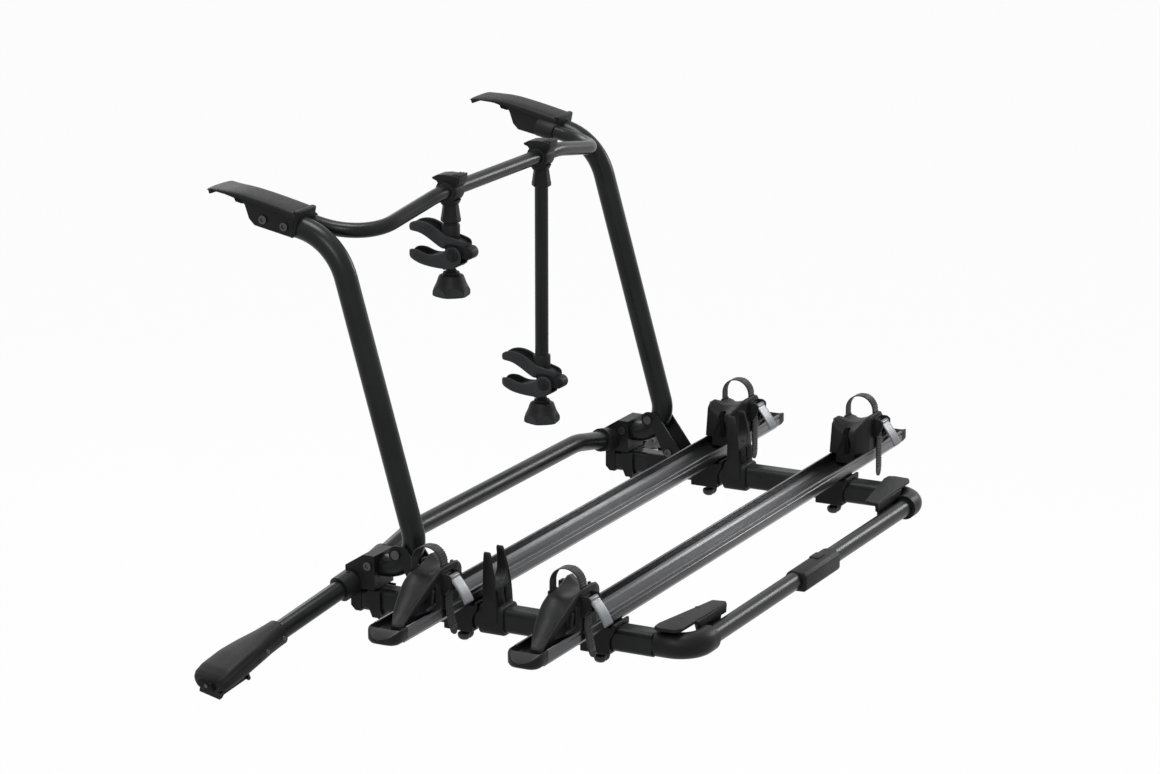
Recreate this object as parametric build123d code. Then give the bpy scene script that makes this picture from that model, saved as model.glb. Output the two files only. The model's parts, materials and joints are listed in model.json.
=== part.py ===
from build123d import *
import math
import os

# A two-bike platform rack that hangs on a tailgate from two upper hooks and two lower feet.
# X runs along the wheel trays, Y runs towards the vehicle, Z is up. Lengths are millimetres, angles degrees.
# The shapes are laid out from the middle plane, with Y zero near the fold hinges. The last lines move
# everything so that the row's origin lies midway between the two hooks, on the tailgate's top edge.

# Overall layout
SIDE_X = 388.0              # plane of each fold hinge and side tube
TUBE_Z = 8.0                # height of the side tubes' axis
PIVOT_Y = -12.0             # fold hinge
PIVOT_Z = 81.0
INNER_TRAY_Y = -108.0       # middle line of each wheel tray
OUTER_TRAY_Y = -316.0
OUTER_BAR_Y = -450.0        # bar at the outer edge of the platform

# Clearances
RUN = 0.05                  # radial gap of a pin or tube that turns or slides
SEAT = 0.10                 # gap of a fixed piece in its seat
GAP = 0.30                  # gap between pieces that move past each other
OVERRUN = 3.0               # how far a cutting shape runs past the face that it cuts

# Upright tubes
UPRIGHT_X = 386.0
UPRIGHT_R = 16.0
UPRIGHT_WALL = 2.5
UPRIGHT_LEAN = 16.1         # degrees from vertical, towards the vehicle
UPRIGHT_FOOT_Y = -40.8      # corner where the leaning run meets the foot run
UPRIGHT_FOOT_Z = 56.0
UPRIGHT_END_Y = 33.0
UPRIGHT_LOW_BEND = 42.0
UPRIGHT_TOP_BEND = 90.0

# Hooks: s runs along the hook from its back end to its tip, t is measured up from the cover's top
HOOK_X = 380.0
HOOK_Y = 136.0
HOOK_Z = 544.0
HOOK_PITCH = 11.0           # degrees that the hook rises towards the vehicle
HOOK_HALF = 24.0            # half the cover's width
HOOK_TUBE_DROP = 28.0       # upright's axis below the cover's top
HOOK_TUBE_S = 68.0          # where the upright ends inside the housing
PLATE_HALF = 20.0
PLATE_TOP = 4.0             # depth of the steel plate's top face
PLATE_THICK = 4.0
PLATE_START_S = 6.0
PLATE_BEND_S = 128.0
PLATE_TIP_S = 147.0
PLATE_TIP_DROP = 10.0
LIP_DEPTH = 8.0
COVER_END_S = 124.0
HOUSING_STEP_S = 96.0
HOUSING_NOSE_S = 83.0
HOUSING_NOSE_DROP = 17.0
HOUSING_LOW_S = 64.0
HOUSING_DEPTH = 40.7
HOUSING_BACK_DROP = 35.0
PAD_START_S = 98.0
PAD_END_S = 134.0
PAD_THICK = 5.0
PAD_HALF = 18.0
SCREW_S_LIST = (18.0, 52.0)
SCREW_DROP = 28.0

# Bar that carries the bike arms
BAR_R = 10.5
BAR_WALL = 2.0
BAR_END_X = 356.0
BAR_DROP = 26.0             # its axis below the cover's top, beside the housing
BAR_START_S = 25.0
BAR_TURN_S = -81.0
BAR_MID_X = 180.0
BAR_Y = 45.6
BAR_Z = 533.0
BAR_TURN_R = 70.0
BAR_MID_R = 190.0
SOCKET_R = 14.0
SOCKET_S = 32.0

# Lower cross bar
LOW_R = 13.5
LOW_WALL = 2.0
LOW_Y = 52.0
LOW_Z = 65.0
LOW_BEND_X = 250.0
LOW_BEND_R = 150.0
LOW_END_X = 347.0
LOW_END_Z = 46.5
COLLAR_X = 331.0
COLLAR_R = 18.0

# Hinge castings
CAST_HALF = 26.0
CAST_FRONT_Y = 20.0
CAST_BACK_Y = 66.0
CAST_TOP_Z = 75.0
CAST_SHOULDER_Y = 38.0
CAST_SHOULDER_Z = 57.0
CAST_UNDER_Z = 26.0
STUB_Y = 46.0               # face that the side tube's end rests on
STUB_BACK_Y = 62.0
STUB_HALF = 19.0
STUB_Z = -9.0
STUB_CHAMFER = 7.0
CAST_SCREW = (30.0, 60.0)
BOLT_R = 5.0
BOLT_HEAD_R = 6.5
BOLT_HEAD = 3.5

# Foot arms: t runs along the arm from the casting's middle
FOOT_X = 385.0
FOOT_Y = 52.0
FOOT_Z = 40.0
FOOT_DIR_SHARES = (0.923, 0.265, -0.279)
FOOT_START_T = -18.0
FOOT_BOSS_T = 26.0
FOOT_COLLAR_T = 50.0
FOOT_BOSS_R = 18.5
FOOT_TUBE_END_T = 190.0
SHELL_NECK_T = 168.0
SHELL_NECK_R = 18.0
SHELL_MID_T = 225.0
SHELL_MID_W = 52.0
SHELL_MID_H = 34.0
SHELL_TOE_T = 285.0
SHELL_TOE_W = 60.0
SHELL_TOE_H = 34.0
SHELL_TIP_T = 306.0
SHELL_TIP_W = 52.0
SHELL_TIP_H = 26.0
SHELL_FLOOR = 14.0          # depth of the shell's flat underside below the arm's axis
SHELL_TURN = 2.0            # how far the toe turns towards the vehicle
CLAW_START_T = 246.0
CLAW_PIN_T = 252.0
CLAW_END_T = 300.0
CLAW_HALF = 20.0
CLAW_SIDE = 1.0             # how far the claw sits towards the vehicle
CLAW_THICK = 5.0
CLAW_LIP = 8.0
CLAW_LIP_T = 4.0
CLAW_PIN_R = 3.0
CLAW_GAP = 1.0

# Side tubes, outer bar and elbows
SIDE_W = 36.0
SIDE_H = 34.0
SIDE_ROUND = 9.0
SIDE_WALL = 2.5
SIDE_START_Y = 45.5
SIDE_END_Y = -398.0
OUTER_R = 12.6
OUTER_WALL = 2.0
OUTER_END_X = 338.0
ELBOW_R = 18.0
ELBOW_BEND = 34.0
SLEEVE_HALF_X = 61.0
SLEEVE_R = 15.2
SLEEVE_FACE = 18.5
SLEEVE_FACE_HALF = 12.5
SLEEVE_ROUND = 2.5
CORNER_PLATE_X = (262.0, 402.0)
CORNER_PLATE_Y = (-437.0, -398.0)
CORNER_PLATE_Z = 31.0
CORNER_PLATE_THICK = 4.0
CORNER_WEB_X = (276.0, 333.0)
CORNER_WEB_THICK = 4.0
CORNER_CUT = 12.0

# Fold brackets: side plates that carry the pivot on both sides of the upright
BRACKET_IN = 18.2
BRACKET_THICK = 3.0
BRACKET_R = 12.0
BRACKET_HEEL_Y = -66.0
BRACKET_TOE_Y = -10.0
BRACKET_INNER_Y = -40.0     # lower end of the sloping arm's inner edge
BRACKET_OUTER_Z = 38.0      # lower end of its outer edge
BRACKET_NECK = (-18.5, 70.0)
BRACKET_CROWN = ((-22.0, 93.0), (-27.5, 90.0))
BRACKET_SCREW = (-47.0, 33.0)
BRACKET_FOOT_Z = -4.0
BRACKET_KNEE_Z = 27.0
WEB_Y = (-66.0, -52.0)
WEB_THICK = 3.0

# Fork clips that snap onto the uprights when the platform is folded up
CLIP_Y = -158.0
CLIP_SLEEVE_HALF = 19.0
CLIP_SLEEVE_WALL = 4.0
CLIP_FORK_HALF = 11.0
CLIP_OUT = 24.0
CLIP_TIP_OUT = 20.5
CLIP_CUP_R = 17.0
CLIP_CUP_Z = 76.0
CLIP_TOP_Z = 104.0

# Latches under the side tubes' vehicle ends
LATCH_IN = 19.4
LATCH_THICK = 3.5
LATCH_Y = (14.0, 36.0)
LATCH_TOP_Z = 24.0
LATCH_PIN_Y = 30.0
LATCH_PIN_R = 4.0
LATCH_FLOOR_Z = -10.2
LATCH_FLOOR_THICK = 4.0
LATCH_FLOOR_Y = 26.0
LATCH_TOE_Z = -19.5
LATCH_TOE_Y = (15.0, 24.0)
LATCH_TOE_HALF = 12.0

# Wheel trays
TRAY_PAST_HOLDER = 16.0     # from a wheel holder's toe to the tray's end
TRAY_HALF_Y = 25.0
TRAY_Z = 27.0
TRAY_H = 23.0
TRAY_WALL = 3.5
TRAY_FOOT = 20.0            # half the flat underside
TRAY_KNEE = 7.0
TRAY_FLOOR = 4.0
CAP_LENGTH = 36.0
CAP_PLUG_GAP = 2.0          # from the cap's plug to the wheel holder's toe
CAP_ROUND = 8.0
CAP_TOP_DROP = 4.0
CAP_SLOT = 14.0
SADDLE_OUT = 22.5
SADDLE_FLOOR = 3.4
SADDLE_HALF_Y = 22.0
EAR_THICK = 4.5
EAR_TOP_Z = 31.0
KNOB_STEM_R = 5.0
KNOB_STEM = 6.0
KNOB_HUB_R = 9.0
KNOB_WING = 14.0            # half the wings' span
KNOB_WING_THICK = 4.5       # half the wings' thickness
KNOB_H = 12.0

# Wheel holders
HOLDER_PAST_SIDE = 38.0     # from the side tube's plane to the holder's inner face
HOLDER_LEAN = 6.0
HOLDER_LENGTH = 148.0
HOLDER_SLOPE = 71.0         # length of the wheel's cradle
HOLDER_HALF = 27.0
HOLDER_TOE_HALF = 13.0
HOLDER_SHOULDER_Z = 103.0
HOLDER_CROWN_Z = 107.0
HOLDER_TOE_Z = 46.0
HOLDER_SCOOP = 7.0          # how far the wheel's cradle dips below a straight slope
HOLDER_RIB = 12.0
NOTCH_HALF = 15.0
NOTCH_DEPTH = 11.0
GROOVE_HALF = 3.5
GROOVE_DEPTH = 12.0
POCKET_DEPTH = 9.0
KEY_HALF = 20.8
KEY_FOOT = 16.0
STRAP_BACK = 16.0           # from the crown's outer end to the strap's middle
STRAP_HALF = 9.0
STRAP_THICK = 2.4
STRAP_REACH = 22.5          # from the tray's middle line to each leg of the arch
STRAP_FOOT_Z = 84.0
STRAP_ARCH_Z = 107.5
STRAP_HIP_Z = 88.0          # where the near leg turns straight down
STRAP_OUT = 29.6
STRAP_TAIL_Z = 8.0
BUCKLE_HALF = 12.6          # half the gap between the buckle's cheeks
BUCKLE_WALL = 3.0
BUCKLE_Z = (70.0, 97.0)
BUCKLE_OUT = 41.0
LEVER_PIN_Y = 36.6
LEVER_PIN_Z = 91.0
LEVER_PIN_R = 2.0
LEVER_BARREL_R = 4.2
LEVER_LENGTH = 40.0
LEVER_THICK = 3.0
LEVER_DROP = 58.0           # degrees below horizontal

# Bike arms: z is measured from the jaw's pivot
SHORT_ARM_X = -147.0
LONG_ARM_X = 125.0
SHORT_PIVOT_Z = 443.0
LONG_PIVOT_Z = 192.0
ARM_Y = 44.5
ARM_R = 10.0
ARM_WALL = 2.0
LINER_R = 12.5
CLAMP_R = 17.0
CLAMP_HALF = 13.0
CLAMP_TOP = 18.0            # top plate above the bar's axis
CLAMP_TOP_THICK = 5.0
CLAMP_PLATE_Y = (-22.0, 27.0)
CLAMP_NECK_R = 13.0
CLAMP_COLLAR_R = 14.5
CLAMP_COLLAR = 16.0
CLAMP_NECK_DROP = 46.0      # from the bike bar's axis to the clamp's lower end
ARM_TOP_DROP = 25.0         # and to the arm tube's upper end
JAW_HALF = 15.0
JAW_CORE = 10.0             # half the upper jaw's width beside the lower jaw's cheeks
JAW_PIVOT_Y = -10.0         # from the arm's axis, away from the vehicle
JAW_PIN_R = 4.0
JAW_HUB_R = 11.0
JAW_CHEEK_R = 12.4
JAW_SPLIT_Y = 4.0
JAW_BRIDGE_Z = -12.5
JAW_REACH = 64.0            # tip from the arm's axis, towards the vehicle
NECK_R = 13.0
NECK_Z = (16.0, 42.0)
TUBE_SEAT_Z = 18.0
BARREL_Y = -30.0
BARREL_Z = 4.0
BARREL_R = 9.5
GRIP_NECK_R = 7.5
GRIP_NECK = 6.0
GRIP_TOP_R = 18.0
GRIP_R = 25.0
GRIP_H = 32.0
GRIP_RIM = 10.0
GRIP_SCALLOP_R = 16.0
GRIP_SCALLOP_IN = 4.0
GRIP_SCALLOPS = 6

# Outlines of the two jaws as shares of the reach, from the arm's axis and the pivot's height
UPPER_JAW_SHARES = (
    (0.05, 0.07), (0.30, 0.19), (0.50, 0.34), (0.75, 0.50), (0.98, 0.55),
    (1.00, 0.66), (0.92, 0.75), (0.70, 0.77), (0.42, 0.66), (0.20, 0.52),
    (0.05, 0.44), (-0.15, 0.36), (-0.45, 0.28), (-0.60, 0.14), (-0.45, -0.07), (-0.16, -0.10),
)
LOWER_JAW_SHARES = (
    (0.05, 0.04), (0.25, -0.03), (0.50, -0.05), (0.70, 0.04), (0.92, 0.05),
    (1.00, -0.05), (0.90, -0.20), (0.72, -0.28), (0.45, -0.33), (0.12, -0.355),
    (-0.20, -0.29), (-0.36, -0.18), (-0.36, 0.08), (-0.16, 0.19),
)

# Places along the wheel's cradle, as shares of its slope
SCOOP_SHARES = (0.0, 0.2, 0.4, 0.6, 0.8, 1.0)

# Screws
SCREW_HEAD_R = 6.0
SCREW_HEAD = 3.0
SCREW_SOCKET_R = 3.0
SCREW_SOCKET = 1.6

HOLDER_IN_X = SIDE_X + HOLDER_PAST_SIDE
HOLDER_LEAN_X = HOLDER_IN_X + HOLDER_LEAN
HOLDER_OUT_X = HOLDER_IN_X + HOLDER_LENGTH
HOLDER_CROWN_X = HOLDER_OUT_X - HOLDER_SLOPE
STRAP_X = HOLDER_CROWN_X - STRAP_BACK
TRAY_HALF_X = HOLDER_OUT_X + TRAY_PAST_HOLDER
CLAMP_NECK_Z = BAR_Z - CLAMP_NECK_DROP
ARM_TOP_Z = BAR_Z - ARM_TOP_DROP
GRIP_TOP_Z = min(up for out, up in LOWER_JAW_SHARES) * JAW_REACH - GAP
HOOK_COS = math.cos(math.radians(HOOK_PITCH))
HOOK_SIN = math.sin(math.radians(HOOK_PITCH))
SADDLE_TOP_Z = TRAY_Z - SEAT
TRAY_TOP_Z = TRAY_Z + TRAY_H
SIDE_TOP_Z = TUBE_Z + SIDE_H / 2
SIDE_BOTTOM_Z = TUBE_Z - SIDE_H / 2


def hook_point(s, drop):
    """Point (y, z) at s along the hook and the given depth below the cover's top."""
    return (HOOK_Y + s * HOOK_COS + drop * HOOK_SIN, HOOK_Z + s * HOOK_SIN - drop * HOOK_COS)


# The row's origin: midway between the hooks, where the tailgate's edge sits under the pads
EDGE_Y, EDGE_Z = hook_point(PAD_END_S, PAD_THICK + PLATE_TOP + PLATE_THICK)
ORIGIN = Vector(0, EDGE_Y, EDGE_Z)

# Shape helpers


def block(x_lo, x_hi, y_lo, y_hi, z_lo, z_hi):
    """Box between two corners."""
    middle = ((x_lo + x_hi) / 2, (y_lo + y_hi) / 2, (z_lo + z_hi) / 2)
    return Pos(*middle) * Box(x_hi - x_lo, y_hi - y_lo, z_hi - z_lo)


def rod(start, end, radius):
    """Round bar between two points."""
    along = Vector(*end) - Vector(*start)
    turned = Plane(origin=Vector(*start), z_dir=along)
    return turned * Cylinder(radius, along.length, align=(Align.CENTER, Align.CENTER, Align.MIN))


def slab_x(points, x_lo, x_hi):
    """Outline in Y and Z, extruded along X."""
    face = Plane.YZ.offset(x_lo) * Polygon(*points, align=None)
    return extrude(face, amount=x_hi - x_lo, dir=(1, 0, 0))


def slab_y(points, y_lo, y_hi):
    """Outline in X and Z, extruded along Y."""
    face = Plane.XZ.offset(-y_hi) * Polygon(*points, align=None)
    return extrude(face, amount=y_hi - y_lo, dir=(0, -1, 0))


def slab_z(points, z_lo, z_hi):
    """Outline in X and Y, extruded along Z."""
    face = Plane.XY.offset(z_lo) * Polygon(*points, align=None)
    return extrude(face, amount=z_hi - z_lo, dir=(0, 0, 1))


def swept(points, radii, radius):
    """Solid round bar along straight runs joined by tangent arcs."""
    path = FilletPolyline(*points, radius=radii)
    section = Plane(origin=path @ 0, z_dir=path % 0) * Circle(radius)
    return sweep(section, path=path)


def bent_tube(points, radii, radius, wall):
    """Hollow round tube along straight runs joined by tangent arcs."""
    path = FilletPolyline(*points, radius=radii)
    section = Plane(origin=path @ 0, z_dir=path % 0) * (Circle(radius) - Circle(radius - wall))
    return sweep(section, path=path)


def both(shape):
    """A shape on the +X side with its mirror image on the other side."""
    return Compound(children=list(shape.solids()) + list(mirror(shape, about=Plane.YZ).solids()))


def group(shapes):
    """Several pieces kept as separate solids of one node."""
    solids = []
    for shape in shapes:
        solids.extend(shape.solids())
    return Compound(children=solids)


def screw(seat, direction):
    """Socket head screw's head standing on a face."""
    start = Vector(*seat)
    step = Vector(*direction)
    head = rod(start, start + step * SCREW_HEAD, SCREW_HEAD_R)
    socket_start = start + step * (SCREW_HEAD - SCREW_SOCKET)
    return head - rod(socket_start, start + step * (SCREW_HEAD + OVERRUN), SCREW_SOCKET_R)


# Upright tubes

lean = math.tan(math.radians(UPRIGHT_LEAN))
rise = HOOK_SIN / HOOK_COS
tube_y, tube_z = hook_point(0, HOOK_TUBE_DROP)
crown_z = (tube_z + rise * (UPRIGHT_FOOT_Y - lean * UPRIGHT_FOOT_Z - tube_y)) / (1 - rise * lean)
crown_y = UPRIGHT_FOOT_Y + lean * (crown_z - UPRIGHT_FOOT_Z)
upright_points = [
    (UPRIGHT_X, UPRIGHT_END_Y, UPRIGHT_FOOT_Z),
    (UPRIGHT_X, UPRIGHT_FOOT_Y, UPRIGHT_FOOT_Z),
    (UPRIGHT_X, crown_y, crown_z),
    (UPRIGHT_X, *hook_point(HOOK_TUBE_S, HOOK_TUBE_DROP)),
]
upright_bends = [UPRIGHT_LOW_BEND, UPRIGHT_TOP_BEND]
pivot = (PIVOT_Y, PIVOT_Z)
bolt_seat = BRACKET_IN + BRACKET_THICK + GAP
bolt_reach = bolt_seat + BOLT_HEAD


def cross_rod(y, z, half, radius, middle=SIDE_X):
    """Round bar along X through a side, reaching the same way to both sides of its middle plane."""
    return rod((middle - half, y, z), (middle + half, y, z), radius)


upright = bent_tube(upright_points, upright_bends, UPRIGHT_R, UPRIGHT_WALL)
upright -= cross_rod(*pivot, CAST_HALF, BOLT_R + RUN)

# Hooks

hook_frame = Plane(origin=(0, HOOK_Y, HOOK_Z), x_dir=(0, HOOK_COS, HOOK_SIN), z_dir=(1, 0, 0))


def hook_slab(points, x_lo, x_hi):
    """Outline in s and depth, extruded along X."""
    flipped = [(s, -drop) for s, drop in points]
    face = hook_frame.offset(x_lo) * Polygon(*flipped, align=None)
    return extrude(face, amount=x_hi - x_lo, dir=(1, 0, 0))


def hook_block(s_lo, s_hi, drop_lo, drop_hi, x_lo, x_hi):
    """Box in the hook's own directions."""
    return hook_slab([(s_lo, drop_lo), (s_hi, drop_lo), (s_hi, drop_hi), (s_lo, drop_hi)], x_lo, x_hi)


plate_under = PLATE_TOP + PLATE_THICK
hook_plate = hook_slab(
    [
        (PLATE_START_S, PLATE_TOP),
        (PLATE_BEND_S, PLATE_TOP),
        (PLATE_TIP_S, PLATE_TIP_DROP),
        (PLATE_TIP_S - PLATE_THICK, PLATE_TIP_DROP + LIP_DEPTH),
        (PLATE_TIP_S - 2 * PLATE_THICK, PLATE_TIP_DROP + LIP_DEPTH - PLATE_THICK / 2),
        (PLATE_TIP_S - 2 * PLATE_THICK, PLATE_TIP_DROP + PLATE_THICK / 2),
        (PLATE_BEND_S, plate_under),
        (PLATE_START_S, plate_under),
    ],
    HOOK_X - PLATE_HALF,
    HOOK_X + PLATE_HALF,
)

housing = hook_slab(
    [
        (0, 0),
        (COVER_END_S, 0),
        (COVER_END_S, plate_under),
        (HOUSING_STEP_S, plate_under),
        (HOUSING_NOSE_S, HOUSING_NOSE_DROP),
        (HOUSING_NOSE_S - (HOUSING_NOSE_S - HOUSING_LOW_S) / 2, HOUSING_BACK_DROP),
        (HOUSING_LOW_S, HOUSING_DEPTH - SEAT),
        (PLATE_START_S, HOUSING_DEPTH),
        (0, HOUSING_BACK_DROP),
    ],
    HOOK_X - HOOK_HALF,
    HOOK_X + HOOK_HALF,
)
bar_back = (BAR_END_X, *hook_point(0, BAR_DROP))
bar_deep = (BAR_END_X, *hook_point(SOCKET_S, BAR_DROP))
bar_start = (BAR_END_X, *hook_point(BAR_START_S, BAR_DROP))
bar_seat = (BAR_END_X, *hook_point(BAR_START_S + SEAT, BAR_DROP))
bar_mouth = (BAR_END_X, *hook_point(-OVERRUN, BAR_DROP))
housing += rod(bar_back, bar_deep, SOCKET_R)
housing -= rod(bar_mouth, bar_seat, BAR_R + SEAT)
housing -= hook_block(
    PLATE_START_S - SEAT,
    COVER_END_S + OVERRUN,
    PLATE_TOP - SEAT,
    plate_under + SEAT,
    HOOK_X - PLATE_HALF - SEAT,
    HOOK_X + PLATE_HALF + SEAT,
)
tube_mouth = (UPRIGHT_X, *hook_point(-OVERRUN, HOOK_TUBE_DROP))
tube_stop = (UPRIGHT_X, *hook_point(HOOK_TUBE_S + SEAT, HOOK_TUBE_DROP))
housing -= rod(tube_mouth, tube_stop, UPRIGHT_R + SEAT)

hook_pad = hook_block(
    PAD_START_S,
    PAD_END_S,
    plate_under,
    plate_under + PAD_THICK,
    HOOK_X - PAD_HALF,
    HOOK_X + PAD_HALF,
)
hook_pad -= hook_slab(
    [
        (PLATE_BEND_S, plate_under - OVERRUN),
        (PLATE_TIP_S - 2 * PLATE_THICK, plate_under - OVERRUN),
        (PLATE_TIP_S - 2 * PLATE_THICK, PLATE_TIP_DROP + PLATE_THICK / 2 + SEAT),
        (PLATE_BEND_S, plate_under),
    ],
    HOOK_X - PLATE_HALF,
    HOOK_X + PLATE_HALF,
)

# Bar for the bike arms

half_bar = [
    bar_start,
    (BAR_END_X, *hook_point(BAR_TURN_S, BAR_DROP)),
    (BAR_MID_X, BAR_Y, BAR_Z),
]
bar_points = half_bar + [(-x, y, z) for x, y, z in reversed(half_bar)]
bike_bar = bent_tube(bar_points, [BAR_TURN_R, BAR_MID_R, BAR_MID_R, BAR_TURN_R], BAR_R, BAR_WALL)

# Lower cross bar

half_low = [(LOW_END_X, LOW_Y, LOW_END_Z), (LOW_BEND_X, LOW_Y, LOW_Z)]
low_points = half_low + [(-x, y, z) for x, y, z in reversed(half_low)]
lower_bar = bent_tube(low_points, [LOW_BEND_R, LOW_BEND_R], LOW_R, LOW_WALL)

# Hinge castings

foot_dir = Vector(*FOOT_DIR_SHARES).normalized()


def foot_point(t):
    """Point on the foot arm's axis."""
    return Vector(FOOT_X, FOOT_Y, FOOT_Z) + foot_dir * t


casting = slab_x(
    [
        (CAST_FRONT_Y, CAST_UNDER_Z),
        (STUB_Y, CAST_UNDER_Z),
        (CAST_BACK_Y, CAST_UNDER_Z),
        (CAST_BACK_Y, CAST_SHOULDER_Z),
        (CAST_SHOULDER_Y, CAST_TOP_Z),
        (CAST_FRONT_Y, CAST_TOP_Z),
    ],
    SIDE_X - CAST_HALF,
    SIDE_X + CAST_HALF,
)
casting += slab_x(
    [
        (STUB_Y, STUB_Z),
        (STUB_BACK_Y - STUB_CHAMFER, STUB_Z),
        (STUB_BACK_Y, STUB_Z + STUB_CHAMFER),
        (STUB_BACK_Y, CAST_SHOULDER_Z),
        (STUB_Y, CAST_SHOULDER_Z),
    ],
    SIDE_X - STUB_HALF,
    SIDE_X + STUB_HALF,
)
collar_slope = (LOW_END_Z - LOW_Z) / (LOW_END_X - LOW_BEND_X)
collar_in = (COLLAR_X, LOW_Y, LOW_Z + collar_slope * (COLLAR_X - LOW_BEND_X))
collar_out = (SIDE_X - STUB_HALF, LOW_Y, LOW_Z + collar_slope * (SIDE_X - STUB_HALF - LOW_BEND_X))
bar_stop_x = LOW_END_X + SEAT
bar_stop = (bar_stop_x, LOW_Y, LOW_Z + collar_slope * (bar_stop_x - LOW_BEND_X))
bar_entry_x = COLLAR_X - OVERRUN
bar_entry = (bar_entry_x, LOW_Y, LOW_Z + collar_slope * (bar_entry_x - LOW_BEND_X))
casting += rod(collar_in, collar_out, COLLAR_R)
casting += rod(foot_point(FOOT_BOSS_T), foot_point(FOOT_COLLAR_T), FOOT_BOSS_R)
casting -= rod(bar_entry, bar_stop, LOW_R + SEAT)
casting -= rod(foot_point(FOOT_START_T - SEAT), foot_point(FOOT_COLLAR_T + OVERRUN), LOW_R + RUN)
casting -= swept(upright_points[:3], [UPRIGHT_LOW_BEND], UPRIGHT_R + SEAT)

pivot_bolt = cross_rod(*pivot, bolt_reach, BOLT_R)
for face_x, outward in ((SIDE_X - bolt_seat, -1), (SIDE_X + bolt_seat, 1)):
    pivot_bolt += rod((face_x, *pivot), (face_x + outward * BOLT_HEAD, *pivot), BOLT_HEAD_R)

# Feet

foot_side = (Vector(0, 1, 0) - foot_dir * foot_dir.Y).normalized()
foot_frame = Plane(origin=Vector(FOOT_X, FOOT_Y, FOOT_Z), x_dir=foot_side, z_dir=foot_dir)
foot_up = 1 if foot_frame.y_dir.Z > 0 else -1
foot_tube = rod(foot_point(FOOT_START_T), foot_point(FOOT_TUBE_END_T), LOW_R)
foot_tube -= rod(foot_point(FOOT_START_T - OVERRUN), foot_point(FOOT_TUBE_END_T + OVERRUN), LOW_R - LOW_WALL)


def shell_section(t, side, width, height):
    """Rounded cross-section of the foot shell with its underside at the shell's floor."""
    up = foot_up * (height / 2 - SHELL_FLOOR)
    outline = RectangleRounded(width, height, height / 2 - height / 10)
    return foot_frame.offset(t) * (Pos(side, up) * outline)


shell = loft(
    [
        foot_frame.offset(SHELL_NECK_T) * Circle(SHELL_NECK_R),
        shell_section(SHELL_MID_T, 0, SHELL_MID_W, SHELL_MID_H),
    ],
    ruled=True,
)
shell += loft(
    [
        shell_section(SHELL_MID_T, 0, SHELL_MID_W, SHELL_MID_H),
        shell_section(SHELL_TOE_T, SHELL_TURN, SHELL_TOE_W, SHELL_TOE_H),
        shell_section(SHELL_TIP_T, SHELL_TURN, SHELL_TIP_W, SHELL_TIP_H),
    ],
    ruled=True,
)
shell -= rod(foot_point(SHELL_NECK_T - OVERRUN), foot_point(FOOT_TUBE_END_T + SEAT), LOW_R + SEAT)


def claw_slab(points, half, middle):
    """Outline in t and depth below the arm's axis, extruded across the foot."""
    corners = []
    for t, drop in points:
        corners.append(foot_point(t) + foot_frame.y_dir * (-foot_up * drop) + foot_side * (middle - half))
    face = make_face(Polyline(*corners, close=True))
    return extrude(face, amount=2 * half, dir=foot_side)


claw_top = SHELL_FLOOR + CLAW_GAP
claw = claw_slab(
    [
        (CLAW_START_T, claw_top),
        (CLAW_END_T, claw_top),
        (CLAW_END_T + CLAW_LIP_T, claw_top + CLAW_LIP),
        (CLAW_END_T + CLAW_LIP_T - CLAW_THICK, claw_top + CLAW_LIP),
        (CLAW_END_T - CLAW_THICK, claw_top + CLAW_THICK),
        (CLAW_START_T, claw_top + CLAW_THICK),
    ],
    CLAW_HALF,
    CLAW_SIDE,
)
claw_pin_drop = claw_top + CLAW_THICK / 2
claw_pin_at = foot_point(CLAW_PIN_T) + foot_frame.y_dir * (-foot_up * claw_pin_drop)
ear_out = CLAW_HALF + CLAW_THICK
claw_pin_ends = [claw_pin_at + foot_side * (CLAW_SIDE + side * ear_out) for side in (-1, 1)]
claw += rod(claw_pin_ends[0], claw_pin_ends[1], CLAW_PIN_R)
ear_foot = claw_pin_drop + CLAW_PIN_R + PAD_THICK / 2
for side in (-1, 1):
    shell += claw_slab(
        [
            (CLAW_START_T - CLAW_THICK, SHELL_FLOOR - CLAW_THICK),
            (CLAW_PIN_T + 2 * CLAW_THICK, SHELL_FLOOR - CLAW_THICK),
            (CLAW_PIN_T + CLAW_THICK, ear_foot),
            (CLAW_START_T, ear_foot),
        ],
        (CLAW_THICK - GAP) / 2,
        CLAW_SIDE + side * (CLAW_HALF + (CLAW_THICK + GAP) / 2),
    )
shell -= rod(claw_pin_ends[0] - foot_side * OVERRUN, claw_pin_ends[1] + foot_side * OVERRUN, CLAW_PIN_R + RUN)

# Side tubes, outer bar and elbows


def side_section(grow):
    """Cross-section of a side tube, grown or shrunk on every side."""
    section = RectangleRounded(SIDE_W + 2 * grow, SIDE_H + 2 * grow, SIDE_ROUND + grow)
    return Plane.XZ * (Pos(SIDE_X, TUBE_Z) * section)


def side_length(grow, y_lo, y_hi):
    """Bar with a side tube's cross-section between two places."""
    return Pos(0, y_hi, 0) * extrude(side_section(grow), amount=y_hi - y_lo)


side_tube = side_length(0, SIDE_END_Y, SIDE_START_Y)
side_tube -= side_length(-SIDE_WALL, SIDE_END_Y - OVERRUN, SIDE_START_Y + OVERRUN)
side_tube -= cross_rod(LATCH_PIN_Y, TUBE_Z, LATCH_IN, LATCH_PIN_R + RUN)

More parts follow.
